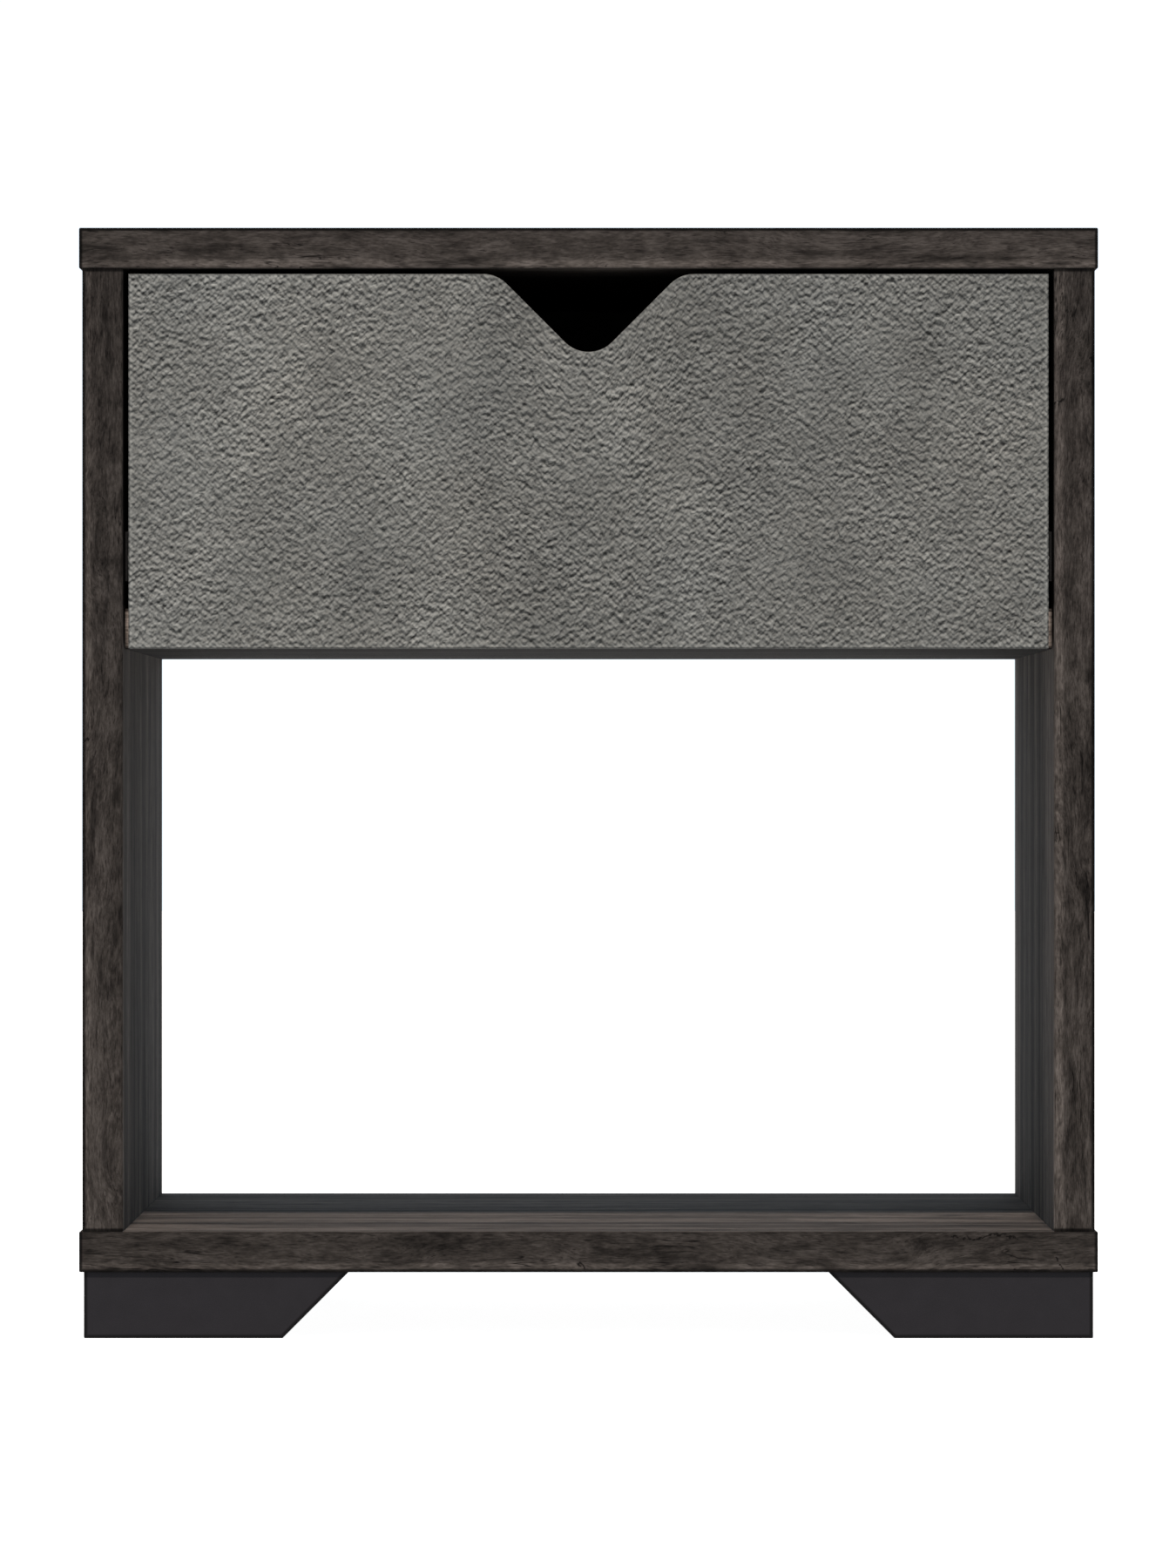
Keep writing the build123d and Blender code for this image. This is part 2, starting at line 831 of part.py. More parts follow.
def drawer_side(hand):
    with BuildPart() as board:
        with BuildSketch(Plane.XY.offset(box_bottom_z)):
            with Locations((hand * box_middle, (front_back_y + box_rear_y) / 2)):
                Rectangle(drawer_board, box_length)
        extrude(amount=box_top_z - box_bottom_z)
        fillet(board.edges().filter_by(Axis.Y).group_by(Axis.Z)[-1], edge_round)
        with BuildSketch(Plane.XZ.offset(-box_rear_y)):
            with Locations((hand * (box_inner + groove_depth / 2), groove_z + groove_height / 2)):
                Rectangle(groove_depth, groove_height)
        extrude(amount=box_length, mode=Mode.SUBTRACT)
        with Locations(*seats(drawer_bolt_points(hand), FORWARD)):
            Hole(small_bolt_head_radius + cam_slot_play, small_cam_offset + cam_bolt_head)
        with Locations(*seats(drawer_dowel_points(hand), FORWARD)):
            Hole(small_dowel_radius + fit, small_dowel_length - small_dowel_in_face + dowel_end_gap)
        with Locations(*drawer_cam_seats(hand)):
            Hole(small_cam_radius + fit, small_cam_depth + fit)
        with Locations(*drawer_screw_seats(hand)):
            CounterSinkHole(
                screw_radius + fit,
                countersunk_head_radius + fit,
                2 * drawer_board,
                counter_sink_angle=countersink_angle,
            )
        with Locations(*drawer_rail_screw_seats(hand)):
            CounterSinkHole(
                screw_radius + fit,
                countersunk_head_radius + fit,
                drawer_rail_screw_length + fit,
                counter_sink_angle=countersink_angle,
            )
    return board.part


def drawer_back():
    low = groove_z + bottom_sheet
    with BuildPart() as board:
        with BuildSketch(Plane.XY.offset(low)):
            with Locations((0, back_middle_y)):
                Rectangle(2 * box_inner, drawer_board)
        extrude(amount=box_top_z - low)
        fillet(board.edges().filter_by(Axis.X).group_by(Axis.Z)[-1], edge_round)
        with Locations(*both(drawer_screw_seats)):
            Hole(screw_radius + fit, drawer_back_screw_length + fit)
        with Locations(*bottom_nail_seats()):
            Hole(nail_radius + fit, nail_length + fit)
    return board.part


def drawer_bottom():
    with BuildPart() as sheet:
        with BuildSketch(Plane.XY.offset(groove_z)):
            with Locations((0, (sheet_front_y + box_rear_y) / 2)):
                Rectangle(2 * sheet_half, box_rear_y - sheet_front_y)
        extrude(amount=bottom_sheet)
        with Locations(*bottom_nail_seats()):
            Hole(nail_radius + fit)
    return sheet.part


# Every node, one file each
os.makedirs("parts", exist_ok=True)

save(top_panel(), "top_panel")
save(bottom_panel(), "bottom_panel")
save(drawer_shelf(), "drawer_shelf")
save(back_panel(), "back_panel")
for word, hand in hands.items():
    save(side_panel(hand), f"{word}_side_panel")

foot_moulding = corner_foot()
for end_word, end in ends.items():
    for word, hand in hands.items():
        group(foot_moulding, [foot_frame(hand, end)], f"{end_word}_{word}_foot")
foot_screw_seats = seats(foot_screw_points(foot_height - boss_ledge), DOWN)
group(round_headed_screw(foot_screw_length), foot_screw_seats, "foot_screws")

carcass_bolt = cam_bolt(
    cam_bolt_thread_radius, cam_bolt_thread, cam_bolt_shank_radius, cam_bolt_head_radius, cam_offset
)
carcass_cam = cam_lock(cam_radius, cam_depth, carcass_board / 2, cam_bolt_head_radius)
carcass_dowel = dowel(dowel_radius, dowel_length, dowel_in_face)
group(carcass_bolt, seats(both(top_bolt_points), DOWN), "top_cam_bolts")
group(carcass_cam, both(top_cam_seats), "top_cam_locks")
group(carcass_dowel, seats(both(top_dowel_points), DOWN), "top_dowels")
shelf_bolt_seats = both(lambda hand: seats(shelf_bolt_points(hand), (-hand, 0, 0)))
shelf_dowel_seats = both(lambda hand: seats(shelf_dowel_points(hand), (-hand, 0, 0)))
group(carcass_bolt, shelf_bolt_seats, "shelf_cam_bolts")
group(carcass_cam, both(shelf_cam_seats), "shelf_cam_locks")
group(carcass_dowel, shelf_dowel_seats, "shelf_dowels")
connecting_seats = seats(both(lambda hand: connecting_points(hand, underside_z)), DOWN)
group(connecting_screw(), connecting_seats, "bottom_screws")
group(carcass_dowel, seats(both(bottom_dowel_points), UP), "bottom_dowels")
group(nail(), back_nail_seats(), "back_panel_nails")

axle = roller_axle()
wheel = roller()
for word, hand in hands.items():
    save(cabinet_rail(hand), f"{word}_cabinet_rail")
    group(wheel, cabinet_axle_seat(hand), f"{word}_cabinet_roller")
    save(drawer_rail(hand), f"{word}_drawer_rail")
    group(wheel, drawer_axle_seat(hand), f"{word}_drawer_roller")
group(axle, both(cabinet_axle_seat), "cabinet_roller_axles")
group(axle, both(drawer_axle_seat), "drawer_roller_axles")
group(countersunk_screw(cabinet_rail_screw_length), both(cabinet_rail_screw_seats), "cabinet_rail_screws")
group(countersunk_screw(drawer_rail_screw_length), both(drawer_rail_screw_seats), "drawer_rail_screws")

save(drawer_front(), "drawer_front")
for word, hand in hands.items():
    save(drawer_side(hand), f"{word}_drawer_side")
save(drawer_back(), "drawer_back")
save(drawer_bottom(), "drawer_bottom")
drawer_bolt = cam_bolt(
    small_bolt_thread_radius,
    small_bolt_thread,
    small_bolt_shank_radius,
    small_bolt_head_radius,
    small_cam_offset,
)
drawer_cam = cam_lock(small_cam_radius, small_cam_depth, drawer_board / 2, small_bolt_head_radius)
drawer_dowel = dowel(small_dowel_radius, small_dowel_length, small_dowel_in_face)
group(drawer_bolt, seats(both(drawer_bolt_points), BACKWARD), "drawer_cam_bolts")
group(drawer_cam, both(drawer_cam_seats), "drawer_cam_locks")
group(drawer_dowel, seats(both(drawer_dowel_points), BACKWARD), "drawer_dowels")
group(countersunk_screw(drawer_back_screw_length), both(drawer_screw_seats), "drawer_back_screws")
group(nail(), bottom_nail_seats(), "drawer_bottom_nails")
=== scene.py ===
from math import radians, sqrt

import bmesh
import bpy
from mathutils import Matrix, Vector


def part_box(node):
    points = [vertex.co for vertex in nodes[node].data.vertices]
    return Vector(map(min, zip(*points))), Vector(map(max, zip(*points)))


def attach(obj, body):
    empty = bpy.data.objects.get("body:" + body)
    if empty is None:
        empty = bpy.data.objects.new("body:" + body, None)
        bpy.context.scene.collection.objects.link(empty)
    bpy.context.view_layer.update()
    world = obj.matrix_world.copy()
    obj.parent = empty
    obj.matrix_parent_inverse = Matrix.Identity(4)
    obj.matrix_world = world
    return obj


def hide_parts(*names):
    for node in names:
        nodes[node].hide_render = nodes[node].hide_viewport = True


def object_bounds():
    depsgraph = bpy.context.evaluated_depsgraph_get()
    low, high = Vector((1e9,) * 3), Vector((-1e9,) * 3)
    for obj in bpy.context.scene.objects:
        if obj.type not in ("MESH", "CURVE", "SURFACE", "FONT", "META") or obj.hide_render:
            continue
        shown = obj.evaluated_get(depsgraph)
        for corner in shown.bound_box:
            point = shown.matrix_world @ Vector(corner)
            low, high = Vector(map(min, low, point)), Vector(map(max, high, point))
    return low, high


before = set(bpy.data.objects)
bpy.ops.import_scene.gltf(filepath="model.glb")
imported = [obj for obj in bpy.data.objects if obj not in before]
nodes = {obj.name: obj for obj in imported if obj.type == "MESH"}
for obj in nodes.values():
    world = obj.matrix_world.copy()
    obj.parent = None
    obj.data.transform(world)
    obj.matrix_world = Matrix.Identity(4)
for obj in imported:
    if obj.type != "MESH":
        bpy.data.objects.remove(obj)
cad_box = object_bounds()

# Shapes are in metres, in the frame's own axes: +X right, +Y back, +Z up. Materials measure in
# millimetres, and their patterns in cycles per millimetre.
MM = 0.001

# Light: a warm key lamp high in front, and a cool white studio all round
KEY_STRENGTH = 5.6
KEY_COLOUR = (1.0, 0.9, 0.82)
KEY_ELEVATION = 54.7
KEY_SOFTNESS = 3.0
STUDIO_COLOUR = (1.02, 1.12, 1.22)
FLOOR_GLOW = 0.97
FLOOR_REACH = 12.0

# Camera straight in front, a little above half the table's height
CAMERA_DISTANCE = 3.766
CAMERA_SIDE = -0.0002
CAMERA_HEIGHT = 0.2196
CAMERA_TILT = -0.0293
CAMERA_LENS = 220.3
CAMERA_SENSOR = 36.0

# Colours of the finishes, in linear light
OAK_DARK = (0.0040, 0.0034, 0.0030)
OAK_MIDDLE = (0.0191, 0.0162, 0.0144)
OAK_PALE = (0.0412, 0.0357, 0.0324)
STONE_GREY = (0.0696, 0.0707, 0.0670)
STONE_WARMTH = (1.0, 0.98, 0.96)
FOOT_BLACK = (0.0078, 0.0072, 0.0084)
FOOT_PALER = 1.06

# The darker and the paler colour of each plain finish, and the noise levels that reach them
# The drawer box and the foiled side of the sheets are near-black partly as painted shade, so the
# inside of the carcass reads black through the notch and gaps
DRAWER_FOIL_AND_SHADE = ((0.008, 0.0077, 0.0075), (0.017, 0.016, 0.0155))
FIBRE_BROWN = ((0.085, 0.052, 0.03), (0.17, 0.108, 0.066))
SHEET_FOIL_AND_SHADE = ((0.007, 0.0067, 0.0065), (0.012, 0.0115, 0.011))
RAIL_BLACK = ((0.007, 0.007, 0.0073), (0.011, 0.011, 0.0113))
NYLON_WHITE = ((0.56, 0.54, 0.48), (0.68, 0.66, 0.6))
BEECH_PALE = ((0.36, 0.2, 0.1), (0.52, 0.33, 0.18))
ZINC_GREY = ((0.30, 0.30, 0.31), (0.46, 0.46, 0.47))
FLOOR_GREY = ((0.34, 0.34, 0.34), (0.36, 0.36, 0.36))
TONE_STOPS = (0.3, 0.7)
ZINC_STOPS = (0.35, 0.7)

# Patterns of the oak: frequency along, across and through the grain, detail and roughness
OAK_DRIFT = ((0.0028, 0.012, 0.012), 1.0)
OAK_WAVE = ((0.011, 0.03, 0.03), 2.0)
OAK_RIPPLE = ((0.045, 0.16, 0.16), 1.0)
OAK_BAND = ((0.0016, 0.021, 0.021), 3.0, 0.6)
OAK_STRIPE = ((0.0012, 0.032, 0.032), 2.0)
OAK_BROAD = ((0.008, 0.085, 0.085), 2.0)
OAK_STREAK = ((0.02, 0.34, 0.34), 4.0, 0.66)
OAK_BLOTCH = ((0.075, 0.24, 0.24), 5.0)
OAK_FIBRE = ((0.10, 1.7, 1.7), 2.0)
OAK_FLECK = ((0.32, 1.5, 1.5), 2.0)
OAK_SMUDGE = ((0.028, 0.15, 0.15), 3.0, 0.65)
OAK_PORE = ((0.15, 2.5, 2.5), 1.0)
OAK_CRACK = ((0.011, 0.28, 0.28), 2.0)
OAK_SWIRL = (0.0055, 0.013, 0.013)

# Patterns of the oak that are alike in every direction: scale and detail
CRACKED_PATCHES = (0.03, 1.0)
DARK_EDGE_PATCHES = (0.15, 2.0)

# How far the oak's grain bends to the side, in millimetres
DRIFT_BEND = 22.0
WAVE_BEND = 4.0
RIPPLE_BEND = 1.2
SWIRL_BEND = 6.0
KNOT_BEND = 3.0

# Reach of the scattered swirls and of their dark hearts, as a share of their spacing
SWIRL_REACH = 0.4
HEART_REACH = 0.07

# A knot on the front edge: its size in millimetres, where its core begins, and the core's strength
KNOT_LENGTH = 26.0
KNOT_WIDTH = 9.0
KNOT_DEPTH = 8.0
KNOT_CORE = (0.8, 1.0)
KNOT_STRENGTH = 0.5

# Shares of the patterns in the oak's colour, and the part of the slow bands on the front edge
BROAD_SHARE = 0.7
STREAK_SHARE = 1.5
FIBRE_SHARE = 0.9
BAND_SHARE = 1.6
STRIPE_SHARE = 0.6
EDGE_BAND_PART = 0.4
DARKEST_BAND = 0.4

# Noise levels between which a mark in the oak fades in
STRIPE_LEVELS = (0.38, 0.62)
SMUDGE_LEVELS = (0.5, 0.72)
PORE_LEVELS = (0.60, 0.70)
CRACKED_LEVELS = (0.54, 0.64)
CRACK_LEVEL = 0.014

# How much of the oak's colour each mark leaves
PORE_SHADE = 0.5
CRACK_SHADE = 0.15
SMUDGE_SHADE = 0.38
DARK_LINE_SHADE = 0.55
DARK_EDGE_SHADES = (0.07, 0.27)
BORDER_SHADE = 0.72

# Widths on the oak boards in millimetres, as the two distances between which a mark fades
DARK_EDGE_WIDTHS = (0.85, 1.7)
BORDER_WIDTHS = (0.5, 1.0)
PAINTED_LIGHT_END_WIDTHS = (4.0, 3.0)
CLEAN_MARGIN = 20.0
TONE_BLUR = 2.0
STRIP_WIDTH = 3.4
STRIP_BLUR = 0.7
STRIP_WANDER = 1.0
SPLIT_WIDTH = 0.75

# The share of a line's half-width that is fully dark, and of the grain's bend that lines follow
LINE_CORE = 0.3
LINE_WANDER = 0.25

# Offsets that make a split jagged: scale, detail, and reach in millimetres
RAGGED_SCALE = 0.55
RAGGED_DETAIL = 2.0
RAGGED_REACH = 4.0

# Surface of the oak foil
OAK_GRAIN_DEPTH = 0.06 * MM
OAK_SPECULAR = 0.03
FIBRE_RISE = 0.4
DULLEST = 0.98
DULL_SPREAD = 0.18
BLOTCH_ROUGHNESS = 0.72

# Heights below which a face's painted light and shade hold, in millimetres
SHELF_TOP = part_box("drawer_shelf")[1].z / MM
TABLE_TOP = cad_box[1].z / MM

# How squarely a surface looks in a direction before it counts as a face on that side
FACING = (0.6, 0.8)

# The drawer front's relief: depth, ridge spacing, grid step and seed, all lengths, and its weight
# on the outermost points of the grid
RELIEF_DEPTH = 1.6 * MM
RELIEF_GRAIN = 1.36 * MM
RELIEF_STEP = 0.78 * MM
RELIEF_SEED = 0.3
BORDER_WEIGHT = 0.6

# Telling the drawer front's face from its other surfaces
SAME_POINT = 0.001 * MM
SAME_PLANE = 0.01 * MM
FRONT_NORMAL = -0.999

# An edge is part of a rounding where the faces beside it are smaller and it turns less than this
FLAT_AREA = 100 * MM * MM
SHARP_TURN = radians(30)

# Ridges of the stucco: two sets that cross on the slant, their stretch, and how far apart in the
# noise the sets lie
SLANT = sqrt(0.5)
RIDGE_STRETCH = 0.55
SETS_APART = 57.3

# Fine stucco of the stone-look foil: millimetres from ridge to ridge, seed and depth
STUCCO_SPACING = 1.27
STUCCO_SEED = 31.0
STUCCO_DEPTH = 1.0 * MM

# Painted light on the sides that look up, found by a small shift in millimetres, and painted shade
# in the hollows
LEDGE_SHIFT = 0.35
LEDGE_PAINTED_LIGHT = 0.8
RELIEF_PAINTED_LIGHT = 1.07
HOLLOW_PAINTED_SHADE = 0.3
DARKEST_PAINTED_RELIEF = 0.25
PAINTED_RELIEF_CURVE = 1.25

# Patterns of the stone-look foil, and the range of shades that each one gives
STONE_CLOUD = ((0.021, 0.014, 0.008), 3.0, 0.6)
STONE_PATCH = (0.045, 2.0)
STONE_ROUGH_PATCH = (0.028, 2.0)
STONE_SPECKLE = (1.9, 2.0, 0.7)
STONE_WARM_PATCH = (0.02, 1.0)
ROUGH_PATCH_SHIFT = (400.0, 0.0, 0.0)
CLOUD_SHADES = (0.6, 1.4)
PATCH_SHADES = (0.78, 1.22)
ROUGH_PATCH_PAINTED_RELIEF = (0.25, 1.75)
SPECKLE_SHADES = (0.95, 1.05)
SIDE_SHADES = (0.88, 1.08)
SIDE_REACH = 180.0
STONE_DULLNESS = (0.75, 0.95)
STONE_SPECULAR = 0.1

# The pale border, a painted highlight, and the dark rim, painted shade on the rounding, of the
# stone-look foil, in millimetres from the edge
PALE_BORDER_WIDTHS = (1.9, 1.1)
PALE_BORDER_SHADE = 1.25
DARK_RIM_WIDTHS = (0.85, 0.35)
DARK_RIM_SHADE = 0.6

# The dark rim of the feet, painted shade on their rounded edges, in millimetres, and the slope from
# which a face counts as level
FOOT_RIM_WIDTHS = (0.9, 1.8)
FOOT_RIM_SHADE = 0.15
LEVEL_FACE = (0.3, 0.6)


class Graph:
    """Adds nodes to one tree. An input is a plain value, or the output that it is linked to."""

    def __init__(self, tree):
        self.tree = tree

    def add(self, kind, inputs=None, **settings):
        node = self.tree.nodes.new(kind)
        for name, value in settings.items():
            setattr(node, name, value)
        for key, value in (inputs or {}).items():
            if isinstance(value, bpy.types.NodeSocket):
                self.tree.links.new(value, node.inputs[key])
            else:
                node.inputs[key].default_value = value
        return node

    def math(self, operation, *values, clamp=False):
        inputs = dict(enumerate(values))
        return self.add("ShaderNodeMath", inputs, operation=operation, use_clamp=clamp).outputs[0]

    def vector(self, operation, *values):
        inputs = dict(enumerate(values))
        return self.add("ShaderNodeVectorMath", inputs, operation=operation).outputs[0]

    def dot(self, first, second):
        settings = {"operation": "DOT_PRODUCT"}
        return self.add("ShaderNodeVectorMath", {0: first, 1: second}, **settings).outputs["Value"]

    def length(self, vector):
        return self.add("ShaderNodeVectorMath", {0: vector}, operation="LENGTH").outputs["Value"]

    def split(self, vector):
        return self.add("ShaderNodeSeparateXYZ", {0: vector}).outputs

    def join(self, x, y, z):
        return self.add("ShaderNodeCombineXYZ", {0: x, 1: y, 2: z}).outputs[0]

    def blend(self, share, first, second):
        inputs = {"Factor": share, "A": first, "B": second}
        return self.add("ShaderNodeMix", inputs, data_type="FLOAT").outputs[0]

    def mixed(self, share, first, second):
        """One colour fading into another; the node's colours are sockets 6, 7 and, going out, 2."""
        inputs = {0: share, 6: first, 7: second}
        return self.add("ShaderNodeMix", inputs, data_type="RGBA").outputs[2]

    def tint(self, colour, factor):
        """The colour made lighter or darker by a factor."""
        inputs = {0: colour, "Scale": factor}
        return self.add("ShaderNodeVectorMath", inputs, operation="SCALE").outputs[0]

    def step(self, value, low, high):
        """0 below low and 1 above high, smooth between; the other way round if low is larger."""
        inputs = {"Value": value, "From Min": low, "From Max": high}
        return self.add("ShaderNodeMapRange", inputs, interpolation_type="SMOOTHSTEP").outputs[0]

    def span(self, value, low, high):
        """The value, from 0 to 1, spread from low to high."""
        inputs = {"Value": value, "To Min": low, "To Max": high}
        return self.add("ShaderNodeMapRange", inputs).outputs[0]

    def swing(self, noise, reach):
        """A noise from 0 to 1, spread as far to one side of 0 as to the other."""
        return self.span(noise, -reach, reach)

    def marked(self, shade, mark, factor):
        """The shade, times a factor where the mark is 1."""
        return self.math("MULTIPLY", shade, self.span(mark, 1.0, factor))

    def noise(self, vector, scale=1.0, detail=2.0, roughness=0.55, distortion=0.0):
        inputs = {
            "Vector": vector,
            "Scale": scale,
            "Detail": detail,
            "Roughness": roughness,
            "Distortion": distortion,
        }
        return self.add("ShaderNodeTexNoise", inputs).outputs[0]

    def stretched(self, vector, frequency, detail, roughness=0.55):
        """Noise with its own frequency along each axis."""
        return self.noise(self.vector("MULTIPLY", vector, frequency), 1.0, detail, roughness)

    def crossed_ridges(self, place, spacing, seed):
        """Two sets of short ridges that cross on the slant, as one noise round 0. The spacing is
        from ridge to ridge, and the seed a length that moves the pattern."""
        rising = self.dot(place, (SLANT, 0.0, SLANT))
        falling = self.dot(place, (-SLANT, 0.0, SLANT))
        depth = self.math("ADD", self.split(place)[1], seed)
        close = self.math("DIVIDE", 1.0, spacing)
        long = self.math("MULTIPLY", close, RIDGE_STRETCH)
        total = -1.0
        for along, across, apart in ((rising, falling, 0.0), (falling, rising, SETS_APART)):
            along = self.math("MULTIPLY", along, long)
            across = self.math("MULTIPLY", across, close)
            slice_depth = self.math("MULTIPLY_ADD", depth, close, apart)
            ridges = self.noise(self.join(along, across, slice_depth), detail=0.0)
            total = self.math("ADD", total, ridges)
        return total

    def weighted(self, parts):
        """A sum of noises round 0.5, each with its own share."""
        total = 0.5
        for noise, share in parts:
            total = self.math("ADD", total, self.swing(noise, share / 2))
        return total

    def ragged(self, place):
        """Small offsets that make a straight line jagged, in millimetres."""
        inputs = {"Vector": place, "Scale": RAGGED_SCALE, "Detail": RAGGED_DETAIL}
        noise = self.add("ShaderNodeTexNoise", inputs).outputs["Color"]
        return self.tint(self.vector("SUBTRACT", noise, (0.5, 0.5, 0.5)), RAGGED_REACH)

    def near(self, place, centre, reach):
        """1 at a point, falling to 0 at the surface of an ellipsoid round it."""
        apart = self.vector("DIVIDE", self.vector("SUBTRACT", place, centre), reach)
        return self.step(self.length(apart), 1.0, 0.0)

    def segment(self, place, begin, finish, width):
        """1 on the straight line between two points, 0 beyond the width."""
        run = Vector(finish) - Vector(begin)
        start = self.vector("SUBTRACT", place, begin)
        share = self.math("DIVIDE", self.dot(start, run[:]), run.length_squared, clamp=True)
        apart = self.vector("SUBTRACT", start, self.tint(run[:], share))
        return self.step(self.length(apart), width, LINE_CORE * width)

    def ramp(self, value, stops):
        node = self.add("ShaderNodeValToRGB", {0: value})
        while len(node.color_ramp.elements) < len(stops):
            node.color_ramp.elements.new(0.5)
        for element, (place, colour) in zip(node.color_ramp.elements, stops):
            element.position = place
            element.color = (*colour, 1.0)
        return node.outputs[0]

    def two_tone(self, noise, colours, stops=TONE_STOPS):
        """The darker colour at low levels of the noise, and the paler one at high levels."""
        return self.ramp(noise, list(zip(stops, colours)))

    def place(self):
        """The piece's own coordinates in millimetres."""
        coordinates = self.add("ShaderNodeTexCoord").outputs["Object"]
        return self.vector("MULTIPLY", coordinates, (1 / MM,) * 3)

    def facing(self, direction):
        """1 where the surface looks that way."""
        normal = self.add("ShaderNodeNewGeometry").outputs["Normal"]
        return self.step(self.dot(normal, direction), *FACING)

    def surface(self, colour, roughness, height, depth, **constants):
        """The finished surface: colour, roughness and relief, the rest set on the shader itself."""
        bump = self.add("ShaderNodeBump", {"Height": height, "Strength": 1.0, "Distance": depth})
        inputs = {"Base Color": colour, "Roughness": roughness, "Normal": bump.outputs[0]}
        inputs.update({name.replace("_", " "): value for name, value in constants.items()})
        shader = self.add("ShaderNodeBsdfPrincipled", inputs)
        self.add("ShaderNodeOutputMaterial", {"Surface": shader.outputs[0]})


def new_material(name):
    material = bpy.data.materials.new(name)
    material.use_nodes = True
    material.node_tree.nodes.clear()
    return material, Graph(material.node_tree)


def edge_distance(graph, low, high):
    """How far a point on a box-shaped board lies from its nearest edge, in millimetres."""
    middle = (low + high) / 2 / MM
    half = (high - low) / 2 / MM
    from_middle = graph.vector("ABSOLUTE", graph.vector("SUBTRACT", graph.place(), middle[:]))
    x, y, z = graph.split(graph.vector("SUBTRACT", half[:], from_middle))
    nearer = graph.math("MINIMUM", x, y)
    farther = graph.math("MAXIMUM", x, y)
    return graph.math("MAXIMUM", nearer, graph.math("MINIMUM", farther, z))


def oak_board(
    node_name,
    grain,
    shift,
    tone=1.0,
    painted_face_light=(),
    dark_lines=(),
    knots=(),
    splits=(),
    pale_strip=0.0,
    strip_width=STRIP_WIDTH,
    painted_light_ends=0.0,
    clean_sides=(),
    dullest=DULLEST,
    blotch_roughness=BLOTCH_ROUGHNESS,
    blotch_share=STREAK_SHARE,
):
    """Smoked-oak foil on one board.

    The grain runs along one axis, and shift moves the figure from board to board. tone is the
    board's brightness away from its borders: painted light from above, paler on the top board and
    darker on the bottom one. The face tones list the faces painted paler or darker than the rest,
    as painted light inside the open compartment and painted shade under the shelf, each with its
    direction, its tone and the height up to which it holds. dark_lines are the heavy lines of the
    figure, each with its Y and half-width. Knots and splits lie on the front edge, at X and Z.
    pale_strip lightens the lower or left border of that edge, as wide as strip_width, and the end
    tone paints light on its two ends. The borders on the clean sides aren't darkened. dullest is
    the greatest roughness. The blotches of the front edge have their own roughness, and their own
    share in the colour."""
    material, graph = new_material("smoked_oak_" + node_name)
    low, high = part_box(node_name)
    front = low.y / MM
    right_end = high.x / MM
    place = graph.place()
    place_x, place_y, place_z = graph.split(place)
    x, y, z = graph.split(graph.vector("ADD", place, shift))
    front_edge = graph.facing((0, -1, 0))
    if grain == "X":
        end = graph.math("MAXIMUM", graph.facing((1, 0, 0)), graph.facing((-1, 0, 0)))
        along = graph.blend(end, x, y)
        across = graph.blend(end, y, x)
        through = z
        knot_reach = (KNOT_LENGTH, KNOT_DEPTH, KNOT_WIDTH)
        from_border = graph.math("SUBTRACT", place_z, low.z / MM)
    else:
        along = z
        across = x
        through = y
        knot_reach = (KNOT_WIDTH, KNOT_DEPTH, KNOT_LENGTH)
        from_border = graph.math("SUBTRACT", place_x, low.x / MM)

    # The grain wanders slowly, waves a little and swings round the knots
    straight = graph.join(along, across, through)
    drift = graph.stretched(straight, *OAK_DRIFT)
    wave = graph.stretched(straight, *OAK_WAVE)
    ripple = graph.stretched(straight, *OAK_RIPPLE)
    bend = graph.math("ADD", graph.swing(drift, DRIFT_BEND), graph.swing(wave, WAVE_BEND))
    bend = graph.math("ADD", bend, graph.swing(ripple, RIPPLE_BEND))
    cells = {"Vector": graph.vector("MULTIPLY", straight, OAK_SWIRL), "Scale": 1.0}
    scattered = graph.add("ShaderNodeTexVoronoi", cells).outputs["Distance"]
    swirl = graph.step(scattered, SWIRL_REACH, 0.0)
    bend = graph.math("ADD", bend, graph.span(swirl, 0.0, SWIRL_BEND))
    heart = graph.step(scattered, HEART_REACH, 0.0)
    for knot_x, knot_z in knots:
        near = graph.near(place, (knot_x, front, knot_z), knot_reach)
        bend = graph.math("ADD", bend, graph.span(near, 0.0, KNOT_BEND))
        core = graph.span(graph.step(near, *KNOT_CORE), 0.0, KNOT_STRENGTH)
        heart = graph.math("MAXIMUM", heart, core)
    across = graph.math("ADD", across, bend)
    through = graph.math("ADD", through, bend)
    figure = graph.join(along, across, through)

    # Slow bands, flowing streaks and fine fibres, shorter and blotchier on the front edge
    band = graph.stretched(figure, *OAK_BAND)
    stripe = graph.step(graph.stretched(figure, *OAK_STRIPE), *STRIPE_LEVELS)
    broad = graph.stretched(figure, *OAK_BROAD)
    blotch = graph.stretched(figure, *OAK_BLOTCH, blotch_roughness)
    blotch_half = blotch_share / STREAK_SHARE / 2
    blotch = graph.span(blotch, 0.5 - blotch_half, 0.5 + blotch_half)
    streak = graph.blend(front_edge, graph.stretched(figure, *OAK_STREAK), blotch)
    fleck = graph.stretched(figure, *OAK_FLECK)
    fibre = graph.blend(front_edge, graph.stretched(figure, *OAK_FIBRE), fleck)
    parts = ((broad, BROAD_SHARE), (streak, STREAK_SHARE), (fibre, FIBRE_SHARE))
    stops = [(0.0, OAK_DARK), (0.5, OAK_MIDDLE), (1.0, OAK_PALE)]
    colour = graph.ramp(graph.weighted(parts), stops)
    slow = graph.weighted(((band, BAND_SHARE), (stripe, STRIPE_SHARE)))
    slow = graph.math("SUBTRACT", slow, 0.5)
    slow = graph.math("MULTIPLY_ADD", slow, graph.span(front_edge, 1.0, EDGE_BAND_PART), 1.0)
    colour = graph.tint(colour, graph.math("MAXIMUM", slow, DARKEST_BAND))

